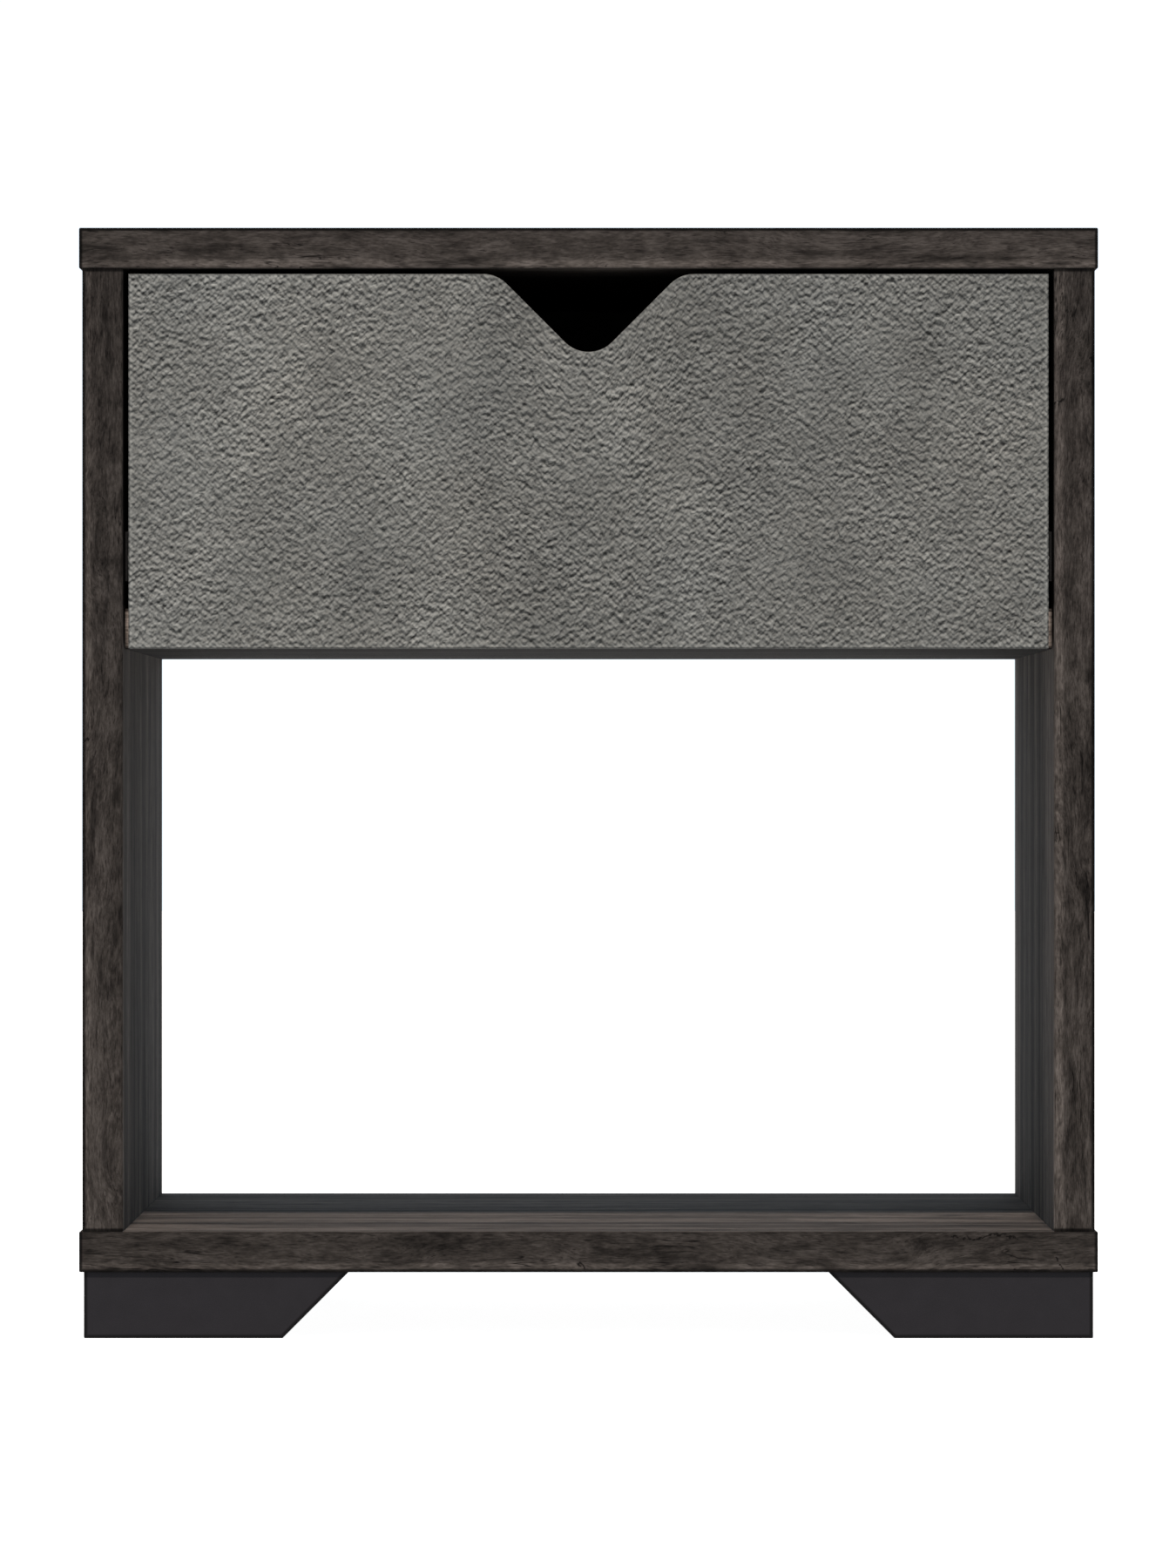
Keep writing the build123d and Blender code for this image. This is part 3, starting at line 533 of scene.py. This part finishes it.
    # Smudges, pores, cracks and splits
    smudge = graph.step(graph.stretched(figure, *OAK_SMUDGE), *SMUDGE_LEVELS)
    pore = graph.step(graph.stretched(figure, *OAK_PORE), *PORE_LEVELS)
    from_crack = graph.math("SUBTRACT", graph.stretched(figure, *OAK_CRACK), 0.5)
    crack = graph.step(graph.math("ABSOLUTE", from_crack), CRACK_LEVEL, 0.0)
    cracked = graph.step(graph.noise(figure, *CRACKED_PATCHES), *CRACKED_LEVELS)
    crack = graph.math("MULTIPLY", crack, cracked)
    jagged = graph.vector("ADD", place, graph.ragged(place))
    for (begin_x, begin_z), (finish_x, finish_z) in splits:
        begin = (begin_x, front, begin_z)
        finish = (finish_x, front, finish_z)
        mark = graph.segment(jagged, begin, finish, SPLIT_WIDTH)
        crack = graph.math("MAXIMUM", crack, mark)
    shade = graph.marked(graph.span(pore, 1.0, PORE_SHADE), crack, CRACK_SHADE)
    shade = graph.marked(shade, graph.math("MAXIMUM", heart, smudge), SMUDGE_SHADE)

    # Borders darkened, but not on the clean sides, and a thin dark line along every edge: partly
    # painted shade on the rounded edges, partly dark edge-band joints
    # The borders' darkness, partly painted shade on the rounded edges and partly dark joints, in
    # patches
    rubbed = graph.span(graph.noise(place, *DARK_EDGE_PATCHES), *DARK_EDGE_SHADES)
    for side in clean_sides:
        low = low + Vector(min(s, 0.0) for s in side) * CLEAN_MARGIN * MM
        high = high + Vector(max(s, 0.0) for s in side) * CLEAN_MARGIN * MM
    inside = graph.step(edge_distance(graph, low, high), *DARK_EDGE_WIDTHS)
    # Away from the borders each board keeps its tone: painted light from above, paler on the top
    # board and darker on the bottom one
    shade = graph.math("MULTIPLY", shade, graph.blend(inside, rubbed, tone))
    inside = graph.step(edge_distance(graph, *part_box(node_name)), *BORDER_WIDTHS)
    shade = graph.math("MULTIPLY", shade, graph.span(inside, BORDER_SHADE, 1.0))

    # Painted light and shade on whole faces, dark lines, the pale strip of the front edge, and
    # painted light on the ends of the front edge
    for direction, painted_face_tone, top in painted_face_light:
        below = graph.step(place_z, top + TONE_BLUR, top)
        face = graph.math("MULTIPLY", graph.facing(direction), below)
        shade = graph.marked(shade, face, painted_face_tone)
    wander = graph.math("MULTIPLY_ADD", bend, LINE_WANDER, place_y)
    for line_y, half_width in dark_lines:
        from_line = graph.math("ABSOLUTE", graph.math("SUBTRACT", wander, line_y))
        mark = graph.step(from_line, half_width, LINE_CORE * half_width)
        shade = graph.marked(shade, mark, DARK_LINE_SHADE)
    from_border = graph.math("ADD", from_border, graph.swing(wave, STRIP_WANDER))
    strip = graph.step(from_border, strip_width + STRIP_BLUR, strip_width - STRIP_BLUR)
    strip = graph.math("MULTIPLY", strip, front_edge)
    shade = graph.marked(shade, strip, 1.0 + pale_strip)
    # Painted light on the two ends of the front edge, where the shelf's edge shows in the shaded
    # gaps beside the drawer front
    from_middle = graph.math("ABSOLUTE", place_x)
    ends = graph.step(from_middle, *(right_end - width for width in PAINTED_LIGHT_END_WIDTHS))
    ends = graph.math("MULTIPLY", ends, front_edge)
    shade = graph.marked(shade, ends, 1.0 + painted_light_ends)

    hollow = graph.math("MAXIMUM", pore, crack)
    graph.surface(
        graph.tint(colour, shade),
        graph.span(streak, dullest - DULL_SPREAD, dullest),
        height=graph.math("SUBTRACT", graph.span(fibre, 0.0, FIBRE_RISE), hollow),
        depth=OAK_GRAIN_DEPTH,
        Specular_IOR_Level=OAK_SPECULAR,
    )
    return material


def stone_foil():
    """Grey stone-look foil on the drawer front. Its fine stucco is embossed, and painted lighter on
    the side of each grain that looks up, as painted light from above, over cloudy patches. The
    hollows of the large relief are painted a little darker, as painted shade. A pale border, a
    painted highlight, with a dark rim of painted shade runs round the front."""
    material, graph = new_material("stone_look_front")
    place = graph.place()
    relief = graph.add("ShaderNodeAttribute", attribute_name="relief").outputs["Fac"]
    rise = graph.add("ShaderNodeAttribute", attribute_name="relief_rise").outputs["Fac"]

    def stucco(lift):
        lifted = graph.vector("ADD", place, (0.0, 0.0, lift))
        return graph.crossed_ridges(lifted, STUCCO_SPACING, STUCCO_SEED)

    # Painted light on the sides that look up and painted shade in the hollows, stronger in some
    # patches than in others
    upward_light = graph.math("SUBTRACT", stucco(-LEDGE_SHIFT), stucco(LEDGE_SHIFT))
    painted_relief = graph.math("MULTIPLY", upward_light, LEDGE_PAINTED_LIGHT)
    painted_relief = graph.math("ADD", painted_relief, graph.math("MULTIPLY", rise, RELIEF_PAINTED_LIGHT))
    painted_relief = graph.math("ADD", painted_relief, graph.math("MULTIPLY", relief, HOLLOW_PAINTED_SHADE))
    elsewhere = graph.vector("ADD", place, ROUGH_PATCH_SHIFT)
    strength = graph.span(graph.noise(elsewhere, *STONE_ROUGH_PATCH), *ROUGH_PATCH_PAINTED_RELIEF)
    painted_relief = graph.math("MULTIPLY_ADD", painted_relief, strength, 1.0)
    painted_relief = graph.math("POWER", graph.math("MAXIMUM", painted_relief, DARKEST_PAINTED_RELIEF), PAINTED_RELIEF_CURVE)

    # Clouds, patches and speckles, the painted highlight of the border and painted shade on its
    # rim, and a slow change from side to side
    cloud = graph.stretched(place, *STONE_CLOUD)
    patch = graph.noise(place, *STONE_PATCH)
    speckle = graph.noise(place, *STONE_SPECKLE)
    leftward = graph.step(graph.split(place)[0], SIDE_REACH, -SIDE_REACH)
    from_edge = edge_distance(graph, *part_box("drawer_front"))
    shade = graph.span(cloud, *CLOUD_SHADES)
    shade = graph.math("MULTIPLY", shade, graph.span(patch, *PATCH_SHADES))
    shade = graph.math("MULTIPLY", shade, graph.span(speckle, *SPECKLE_SHADES))
    shade = graph.marked(shade, graph.step(from_edge, *PALE_BORDER_WIDTHS), PALE_BORDER_SHADE)
    shade = graph.marked(shade, graph.step(from_edge, *DARK_RIM_WIDTHS), DARK_RIM_SHADE)
    shade = graph.math("MULTIPLY", shade, graph.span(leftward, *SIDE_SHADES))
    shade = graph.math("MULTIPLY", shade, painted_relief)

    warm_grey = tuple(c * f for c, f in zip(STONE_GREY, STONE_WARMTH))
    colour = graph.two_tone(graph.noise(place, *STONE_WARM_PATCH), (STONE_GREY, warm_grey))
    graph.surface(
        graph.tint(colour, shade),
        graph.span(speckle, *STONE_DULLNESS),
        height=stucco(0.0),
        depth=STUCCO_DEPTH,
        Specular_IOR_Level=STONE_SPECULAR,
    )
    return material


def moulded_plastic():
    """Matt black plastic of the feet, finely eroded by its mould, with darker rims that are painted
    shade on the rounded edges.
    """
    material, graph = new_material("foot_plastic")
    place = graph.place()

    # Distance from the outer corner, the sole and the slanted ends; a level face counts as farther
    low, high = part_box("front_right_foot")
    x, y, z = graph.split(graph.vector("ABSOLUTE", place))
    from_side = graph.math("SUBTRACT", high.x / MM, x)
    from_front = graph.math("SUBTRACT", -low.y / MM, y)
    from_corner = graph.math("MAXIMUM", from_side, from_front)
    slope = graph.math("ADD", z, (high.x - low.x - high.z) / MM)
    from_slope = graph.math("MULTIPLY", graph.math("SUBTRACT", slope, from_corner), SLANT)
    rim = graph.math("MINIMUM", graph.math("MINIMUM", z, from_slope), from_corner)
    normal = graph.add("ShaderNodeNewGeometry").outputs["Normal"]
    level = graph.step(graph.math("ABSOLUTE", graph.split(normal)[2]), *LEVEL_FACE)
    rim = graph.step(graph.math("ADD", rim, level), *FOOT_RIM_WIDTHS)

    grit = graph.noise(place, scale=2.6, detail=2.0, roughness=0.6)
    mottle = graph.noise(place, scale=0.12, detail=2.0)
    shade = graph.span(grit, low=0.86, high=1.14)
    shade = graph.math("MULTIPLY", shade, graph.span(mottle, low=0.92, high=1.08))
    shade = graph.math("MULTIPLY", shade, graph.span(rim, FOOT_RIM_SHADE, 1.0))
    paler = tuple(c * FOOT_PALER for c in FOOT_BLACK)
    graph.surface(
        graph.tint(graph.two_tone(mottle, (FOOT_BLACK, paler)), shade),
        graph.span(grit, low=0.62, high=0.82),
        height=grit,
        depth=0.05 * MM,
        Specular_IOR_Level=0.08,
    )
    return material


def drawer_foil_and_shade():
    """Near-black foil of the drawer box, with a faint woodgrain along the boards; its darkness is
    partly painted shade.
    """
    material, graph = new_material("dark_drawer_board")
    place = graph.place()
    grain = graph.stretched(place, frequency=(0.05, 0.03, 0.9), detail=3.0, roughness=0.6)
    pore = graph.stretched(place, frequency=(0.25, 0.16, 2.6), detail=1.0)
    pore = graph.step(pore, low=0.6, high=0.7)
    ridge_share = 0.3
    pore_shade = 0.6
    graph.surface(
        graph.tint(graph.two_tone(grain, DRAWER_FOIL_AND_SHADE), graph.span(pore, 1.0, pore_shade)),
        graph.span(grain, low=0.45, high=0.65),
        height=graph.math("SUBTRACT", graph.math("MULTIPLY", grain, ridge_share), pore),
        depth=0.04 * MM,
        Specular_IOR_Level=0.25,
    )
    return material


def hardboard(name, dark_side):
    """Thin pressed-fibre sheet: dark foil on one side, near-black partly as painted shade, brown
    and fibrous everywhere else.
    """
    material, graph = new_material(name)
    place = graph.place()
    fibre = graph.noise(place, scale=0.9, detail=3.0, roughness=0.7, distortion=1.5)
    cloud = graph.noise(place, scale=0.03, detail=2.0)
    brown = graph.two_tone(fibre, FIBRE_BROWN)
    foil = graph.two_tone(fibre, SHEET_FOIL_AND_SHADE)
    colour = graph.mixed(graph.facing(dark_side), brown, foil)
    graph.surface(
        graph.tint(colour, graph.span(cloud, low=0.8, high=1.2)),
        graph.span(fibre, low=0.55, high=0.8),
        height=fibre,
        depth=0.05 * MM,
        Specular_IOR_Level=0.25,
    )
    return material


def rail_paint():
    """Black powder coat on folded steel: a fine orange-peel skin, scuffed along the rail."""
    material, graph = new_material("painted_rail_steel")
    place = graph.place()
    peel = graph.noise(place, scale=1.1, detail=2.0)
    scuff = graph.stretched(place, frequency=(2.2, 0.03, 2.2), detail=2.0)
    scuff = graph.step(scuff, low=0.62, high=0.7)
    scuff_shade = 1.9
    scuff_polish = -0.12
    dullness = graph.span(peel, low=0.5, high=0.62)
    graph.surface(
        graph.tint(graph.two_tone(peel, RAIL_BLACK), graph.span(scuff, 1.0, scuff_shade)),
        graph.math("MULTIPLY_ADD", scuff, scuff_polish, dullness),
        height=peel,
        depth=0.05 * MM,
        Specular_IOR_Level=0.06,
    )
    return material


def nylon():
    """Off-white nylon of the rollers, turned smooth, with grey rubbed bands."""
    material, graph = new_material("roller_nylon")
    place = graph.place()
    cloud = graph.noise(place, scale=0.35, detail=2.0)
    rings = graph.stretched(place, frequency=(3.0, 0.12, 0.12), detail=2.0)
    graph.surface(
        graph.tint(graph.two_tone(cloud, NYLON_WHITE), graph.span(rings, low=0.75, high=1.1)),
        graph.span(rings, low=0.3, high=0.5),
        height=rings,
        depth=0.03 * MM,
        Specular_IOR_Level=0.45,
    )
    return material


def beech():
    """Raw beech of the dowels: pale, with short dark flecks along the grain."""
    material, graph = new_material("beech_dowel")
    place = graph.place()
    grain = graph.stretched(place, frequency=(0.5, 0.5, 0.35), detail=3.0, roughness=0.6)
    fleck = graph.step(graph.noise(place, scale=1.6, detail=1.0), low=0.6, high=0.68)
    fleck_shade = 0.6
    graph.surface(
        graph.tint(graph.two_tone(grain, BEECH_PALE), graph.span(fleck, 1.0, fleck_shade)),
        graph.span(grain, low=0.6, high=0.8),
        height=grain,
        depth=0.05 * MM,
        Specular_IOR_Level=0.3,
    )
    return material


def zinc_plate():
    """Bright zinc on the fittings: patchy crystals, with dull rubbed spots."""
    material, graph = new_material("zinc_plated_steel")
    place = graph.place()
    cells = {"Vector": place, "Scale": 0.9}
    crystal = graph.add("ShaderNodeTexVoronoi", cells).outputs["Distance"]
    dull = graph.noise(place, scale=0.5, detail=3.0, roughness=0.6)
    colour = graph.two_tone(dull, ZINC_GREY, ZINC_STOPS)
    graph.surface(
        graph.tint(colour, graph.span(crystal, low=0.9, high=1.08)),
        graph.span(dull, low=0.24, high=0.5),
        height=crystal,
        depth=0.02 * MM,
        Metallic=1.0,
    )
    return material


def relief_tree():
    """Geometry nodes that raise and sink a face along -Y in a fine stucco, where the weight
    attribute allows, and keep the height and its rise as attributes for the painted light and
    shade of the foil."""
    tree = bpy.data.node_groups.new("stucco_relief", "GeometryNodeTree")
    for name, kind in (
        ("Geometry", "NodeSocketGeometry"),
        ("Depth", "NodeSocketFloat"),
        ("Grain", "NodeSocketFloat"),
        ("Seed", "NodeSocketFloat"),
        ("Material", "NodeSocketMaterial"),
    ):
        tree.interface.new_socket(name, in_out="INPUT", socket_type=kind)
    tree.interface.new_socket("Geometry", in_out="OUTPUT", socket_type="NodeSocketGeometry")
    graph = Graph(tree)
    given = graph.add("NodeGroupInput").outputs
    position = graph.add("GeometryNodeInputPosition").outputs[0]

    def height_at(lift):
        lifted = graph.vector("ADD", position, (0.0, 0.0, lift))
        return graph.crossed_ridges(lifted, given["Grain"], given["Seed"])

    def stored(geometry, name, value):
        inputs = {"Geometry": geometry, "Name": name, "Value": value}
        settings = {"data_type": "FLOAT", "domain": "POINT"}
        return graph.add("GeometryNodeStoreNamedAttribute", inputs, **settings).outputs[0]

    named = {"Name": "relief_weight"}
    weight = graph.add("GeometryNodeInputNamedAttribute", named, data_type="FLOAT").outputs[0]
    height = graph.math("MULTIPLY", height_at(0.0), weight)
    shift = LEDGE_SHIFT * MM
    rise = graph.math("SUBTRACT", height_at(-shift), height_at(shift))
    rise = graph.math("MULTIPLY", rise, weight)
    geometry = stored(given["Geometry"], "relief", height)
    geometry = stored(geometry, "relief_rise", rise)
    forward = graph.math("MULTIPLY", given["Depth"], -1.0)
    offset = graph.join(0.0, graph.math("MULTIPLY", height, forward), 0.0)
    moved = graph.add("GeometryNodeSetPosition", {"Geometry": geometry, "Offset": offset})
    real = graph.add("GeometryNodeRealizeInstances", {"Geometry": moved.outputs[0]})
    dressing = {"Geometry": real.outputs[0], "Material": given["Material"]}
    dressed = graph.add("GeometryNodeSetMaterial", dressing)
    graph.add("NodeGroupOutput", {"Geometry": dressed.outputs[0]})
    return tree


def notch_top(outline, x):
    """Height of the drawer front's upper edge at x, read off the edge's own points."""
    for (x0, z0), (x1, z1) in zip(outline[:-1], outline[1:]):
        if x0 <= x <= x1:
            return z0 + (z1 - z0) * (x - x0) / (x1 - x0)
    return outline[0][1]


def shade_roundings(mesh):
    """Shades the stucco and the CAD's small roundings smooth, and every other edge sharp."""
    normals = mesh.attributes.get("custom_normal")
    if normals is not None:
        mesh.attributes.remove(normals)
    mesh.shade_smooth()
    body = bmesh.new()
    body.from_mesh(mesh)
    weight = body.verts.layers.float["relief_weight"]
    stucco_faces = {f for f in body.faces if any(v[weight] > 0.0 for v in f.verts)}
    for edge in body.edges:
        stucco = [f in stucco_faces for f in edge.link_faces]
        small = all(f.calc_area() < FLAT_AREA for f in edge.link_faces)
        rounded = small and edge.calc_face_angle(0.0) < SHARP_TURN
        edge.smooth = all(stucco) or (rounded and not any(stucco))
    body.to_mesh(mesh)
    body.free()


def stone_drawer_front():
    """The drawer front with real stucco relief on its face. Its edges, back, groove and holes stay
    the CAD's, and the relief starts just inside the face's rim."""
    low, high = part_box("drawer_front")
    body = bmesh.new()
    body.from_mesh(nodes["drawer_front"].data)
    bmesh.ops.remove_doubles(body, verts=body.verts, dist=SAME_POINT)
    looking_front = [f for f in body.faces if f.normal.y < FRONT_NORMAL]
    face = [f for f in looking_front if f.calc_center_median().y < low.y + SAME_PLANE]
    bmesh.ops.delete(body, geom=face, context="FACES")

    # The open rim: its extent, its upper edge with the notch, and then points at every grid step
    rim = [e for e in body.edges if e.is_boundary]
    rim_points = {v for e in rim for v in e.verts}
    left = min(v.co.x for v in rim_points)
    right = max(v.co.x for v in rim_points)
    bottom = min(v.co.z for v in rim_points)
    middle = bottom + (high.z - low.z) / 2
    upper = sorted((v.co.x, v.co.z) for v in rim_points if v.co.z > middle)
    for edge in rim:
        cuts = int(edge.calc_length() / RELIEF_STEP)
        if cuts:
            bmesh.ops.subdivide_edges(body, edges=[edge], cuts=cuts)
    rim = [e for e in body.edges if e.is_boundary]

    # A fine grid one step inside the rim, joined to it by a band of triangles
    columns = round((right - left) / RELIEF_STEP)
    rows = round((high.z - bottom) / RELIEF_STEP)
    weight = body.verts.layers.float.new("relief_weight")
    grid = []
    for i in range(columns + 1):
        x = left + RELIEF_STEP + (right - left - 2 * RELIEF_STEP) * i / columns
        slope = abs(notch_top(upper, x + MM) - notch_top(upper, x - MM)) / (2 * MM)
        top = notch_top(upper, x) - RELIEF_STEP * sqrt(1 + slope * slope)
        column = []
        for j in range(rows + 1):
            z = bottom + RELIEF_STEP + (top - bottom - RELIEF_STEP) * j / rows
            vertex = body.verts.new((x, low.y, z))
            outermost = i in (0, columns) or j in (0, rows)
            vertex[weight] = BORDER_WEIGHT if outermost else 1.0
            column.append(vertex)
        grid.append(column)
    for i in range(columns):
        for j in range(rows):
            body.faces.new((grid[i][j], grid[i + 1][j], grid[i + 1][j + 1], grid[i][j + 1]))
    seam = rim + [e for column in grid for v in column for e in v.link_edges if e.is_boundary]
    bmesh.ops.triangle_fill(body, edges=list(set(seam)), use_beauty=True, normal=(0, -1, 0))
    bmesh.ops.recalc_face_normals(body, faces=body.faces)

    # The relief itself
    mesh = bpy.data.meshes.new("stone_drawer_front")
    body.to_mesh(mesh)
    body.free()
    piece = bpy.data.objects.new("stone_drawer_front", mesh)
    bpy.context.scene.collection.objects.link(piece)
    tree = relief_tree()
    modifier = piece.modifiers.new("stucco_relief", "NODES")
    modifier.node_group = tree
    settings = {
        "Depth": RELIEF_DEPTH,
        "Grain": RELIEF_GRAIN,
        "Seed": RELIEF_SEED,
        "Material": stone_foil(),
    }
    for socket in tree.interface.items_tree:
        if socket.in_out == "INPUT" and socket.name in settings:
            modifier[socket.identifier] = settings[socket.name]
    evaluated = piece.evaluated_get(bpy.context.evaluated_depsgraph_get())
    finished = bpy.data.meshes.new_from_object(evaluated)
    piece.modifiers.clear()
    piece.data = finished
    shade_roundings(finished)
    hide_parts("drawer_front")
    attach(piece, "drawer")


def dress(names, material):
    """Gives one material to some CAD nodes."""
    for name in names:
        for slot in nodes[name].material_slots:
            slot.material = material


def ending(*endings):
    """The CAD nodes whose names end that way."""
    return [name for name in nodes if name.endswith(endings)]


# The oak boards, each with its own stretch of the figure. The face tones paint light on the faces
# inside the open compartment, and shade under the shelf
OAK_BOARDS = {
    "top_panel": dict(
        grain="X",
        shift=(31.0, 12.0, 7.0),
        tone=1.06,
        pale_strip=0.7,
        clean_sides=[(0, 0, -1)],
    ),
    "bottom_panel": dict(
        grain="X",
        shift=(412.0, 77.0, 23.0),
        tone=0.84,
        painted_face_light=[((0, 0, 1), 2.6, TABLE_TOP)],
        dark_lines=[(-104.0, 13.0), (12.0, 10.0)],
        knots=[(-80.0, 33.0), (121.0, 31.0)],
        splits=[
            ((143.0, 40.0), (152.5, 38.8)),
            ((152.5, 38.8), (159.0, 41.2)),
            ((159.0, 41.2), (168.0, 39.6)),
            ((-4.6, 31.0), (-1.6, 27.0)),
            ((184.2, 30.8), (186.2, 26.8)),
        ],
        pale_strip=0.6,
        clean_sides=[(0, 0, 1)],
        dullest=0.9,
    ),
    "drawer_shelf": dict(
        grain="X",
        shift=(-255.0, 140.0, 61.0),
        painted_face_light=[((0, 0, -1), 0.74, TABLE_TOP)],
        # The ends of the shelf's front edge are painted light
        painted_light_ends=7.6,
        clean_sides=[(1, 0, 0), (-1, 0, 0)],
    ),
    "left_side_panel": dict(
        grain="Z",
        shift=(7.0, 18.0, 150.0),
        tone=0.92,
        painted_face_light=[((1, 0, 0), 2.5, SHELF_TOP)],
        dark_lines=[(-106.0, 17.0), (2.0, 24.0), (150.0, 18.0)],
        knots=[(-192.0, 309.0), (-187.0, 70.0)],
        splits=[((-198.7, 44.0), (-195.4, 47.2)), ((-198.0, 234.5), (-194.8, 235.5))],
        pale_strip=0.45,
        clean_sides=[(1, 0, 0)],
        blotch_roughness=0.9,
        blotch_share=2.1,
    ),
    "right_side_panel": dict(
        grain="Z",
        shift=(83.0, 51.0, -310.0),
        tone=0.93,
        painted_face_light=[((-1, 0, 0), 2.9, SHELF_TOP)],
        dark_lines=[(-58.0, 12.0), (3.0, 19.0), (112.0, 16.0)],
        knots=[(191.0, 372.0), (194.0, 190.0)],
        splits=[((183.2, 366.8), (186.9, 368.6)), ((197.2, 385.0), (198.6, 381.6))],
        pale_strip=0.8,
        strip_width=3.9,
        clean_sides=[(-1, 0, 0)],
        blotch_roughness=0.88,
        blotch_share=2.2,
    ),
}

stone_drawer_front()
for board, look in OAK_BOARDS.items():
    dress([board], oak_board(board, **look))
dress(["left_drawer_side", "right_drawer_side", "drawer_back"], drawer_foil_and_shade())
dress(["back_panel"], hardboard("back_hardboard", (0, -1, 0)))
dress(["drawer_bottom"], hardboard("drawer_hardboard", (0, 0, 1)))
dress(ending("_foot"), moulded_plastic())
dress(ending("_rail"), rail_paint())
dress(ending("_roller"), nylon())
dress(ending("_dowels"), beech())
dress(ending("_bolts", "_locks", "_screws", "_nails", "_axles"), zinc_plate())


def studio():
    """Pale floor, key lamp and white surroundings."""
    scene = bpy.context.scene
    scene.view_settings.view_transform = "Standard"
    world = bpy.data.worlds.new("white_studio")
    world.use_nodes = True
    background = world.node_tree.nodes["Background"]
    background.inputs["Color"].default_value = (*STUDIO_COLOUR, 1.0)
    scene.world = world

    mesh = bpy.data.meshes.new("studio_floor")
    signs = ((-1, -1), (1, -1), (1, 1), (-1, 1))
    corners = [(x * FLOOR_REACH, y * FLOOR_REACH, 0) for x, y in signs]
    mesh.from_pydata(corners, [], [(0, 1, 2, 3)])
    floor = bpy.data.objects.new("studio_floor", mesh)
    scene.collection.objects.link(floor)
    material, graph = new_material("pale_floor")
    clouds = graph.noise(graph.place(), scale=0.004, detail=2.0)
    inputs = {
        "Base Color": graph.two_tone(clouds, FLOOR_GREY),
        "Roughness": 0.9,
        "Emission Color": (1.0, 1.0, 1.0, 1.0),
        "Emission Strength": FLOOR_GLOW,
    }
    shader = graph.add("ShaderNodeBsdfPrincipled", inputs)
    graph.add("ShaderNodeOutputMaterial", {"Surface": shader.outputs[0]})
    mesh.materials.append(material)

    lamp = bpy.data.lights.new("key_lamp", "SUN")
    lamp.energy = KEY_STRENGTH
    lamp.color = KEY_COLOUR
    lamp.angle = radians(KEY_SOFTNESS)
    key = bpy.data.objects.new("key_lamp", lamp)
    key.rotation_euler = (radians(90.0 - KEY_ELEVATION), 0.0, 0.0)
    scene.collection.objects.link(key)


def camera():
    """The view of the photograph: straight from the front, through a long lens."""
    lens = bpy.data.cameras.new("front_camera")
    lens.lens = CAMERA_LENS
    lens.sensor_width = CAMERA_SENSOR
    view = bpy.data.objects.new("front_camera", lens)
    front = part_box("top_panel")[0].y
    view.location = (CAMERA_SIDE, front - CAMERA_DISTANCE, CAMERA_HEIGHT)
    view.rotation_euler = (radians(90.0 + CAMERA_TILT), 0.0, 0.0)
    bpy.context.scene.collection.objects.link(view)
    bpy.context.scene.camera = view


studio()
camera()
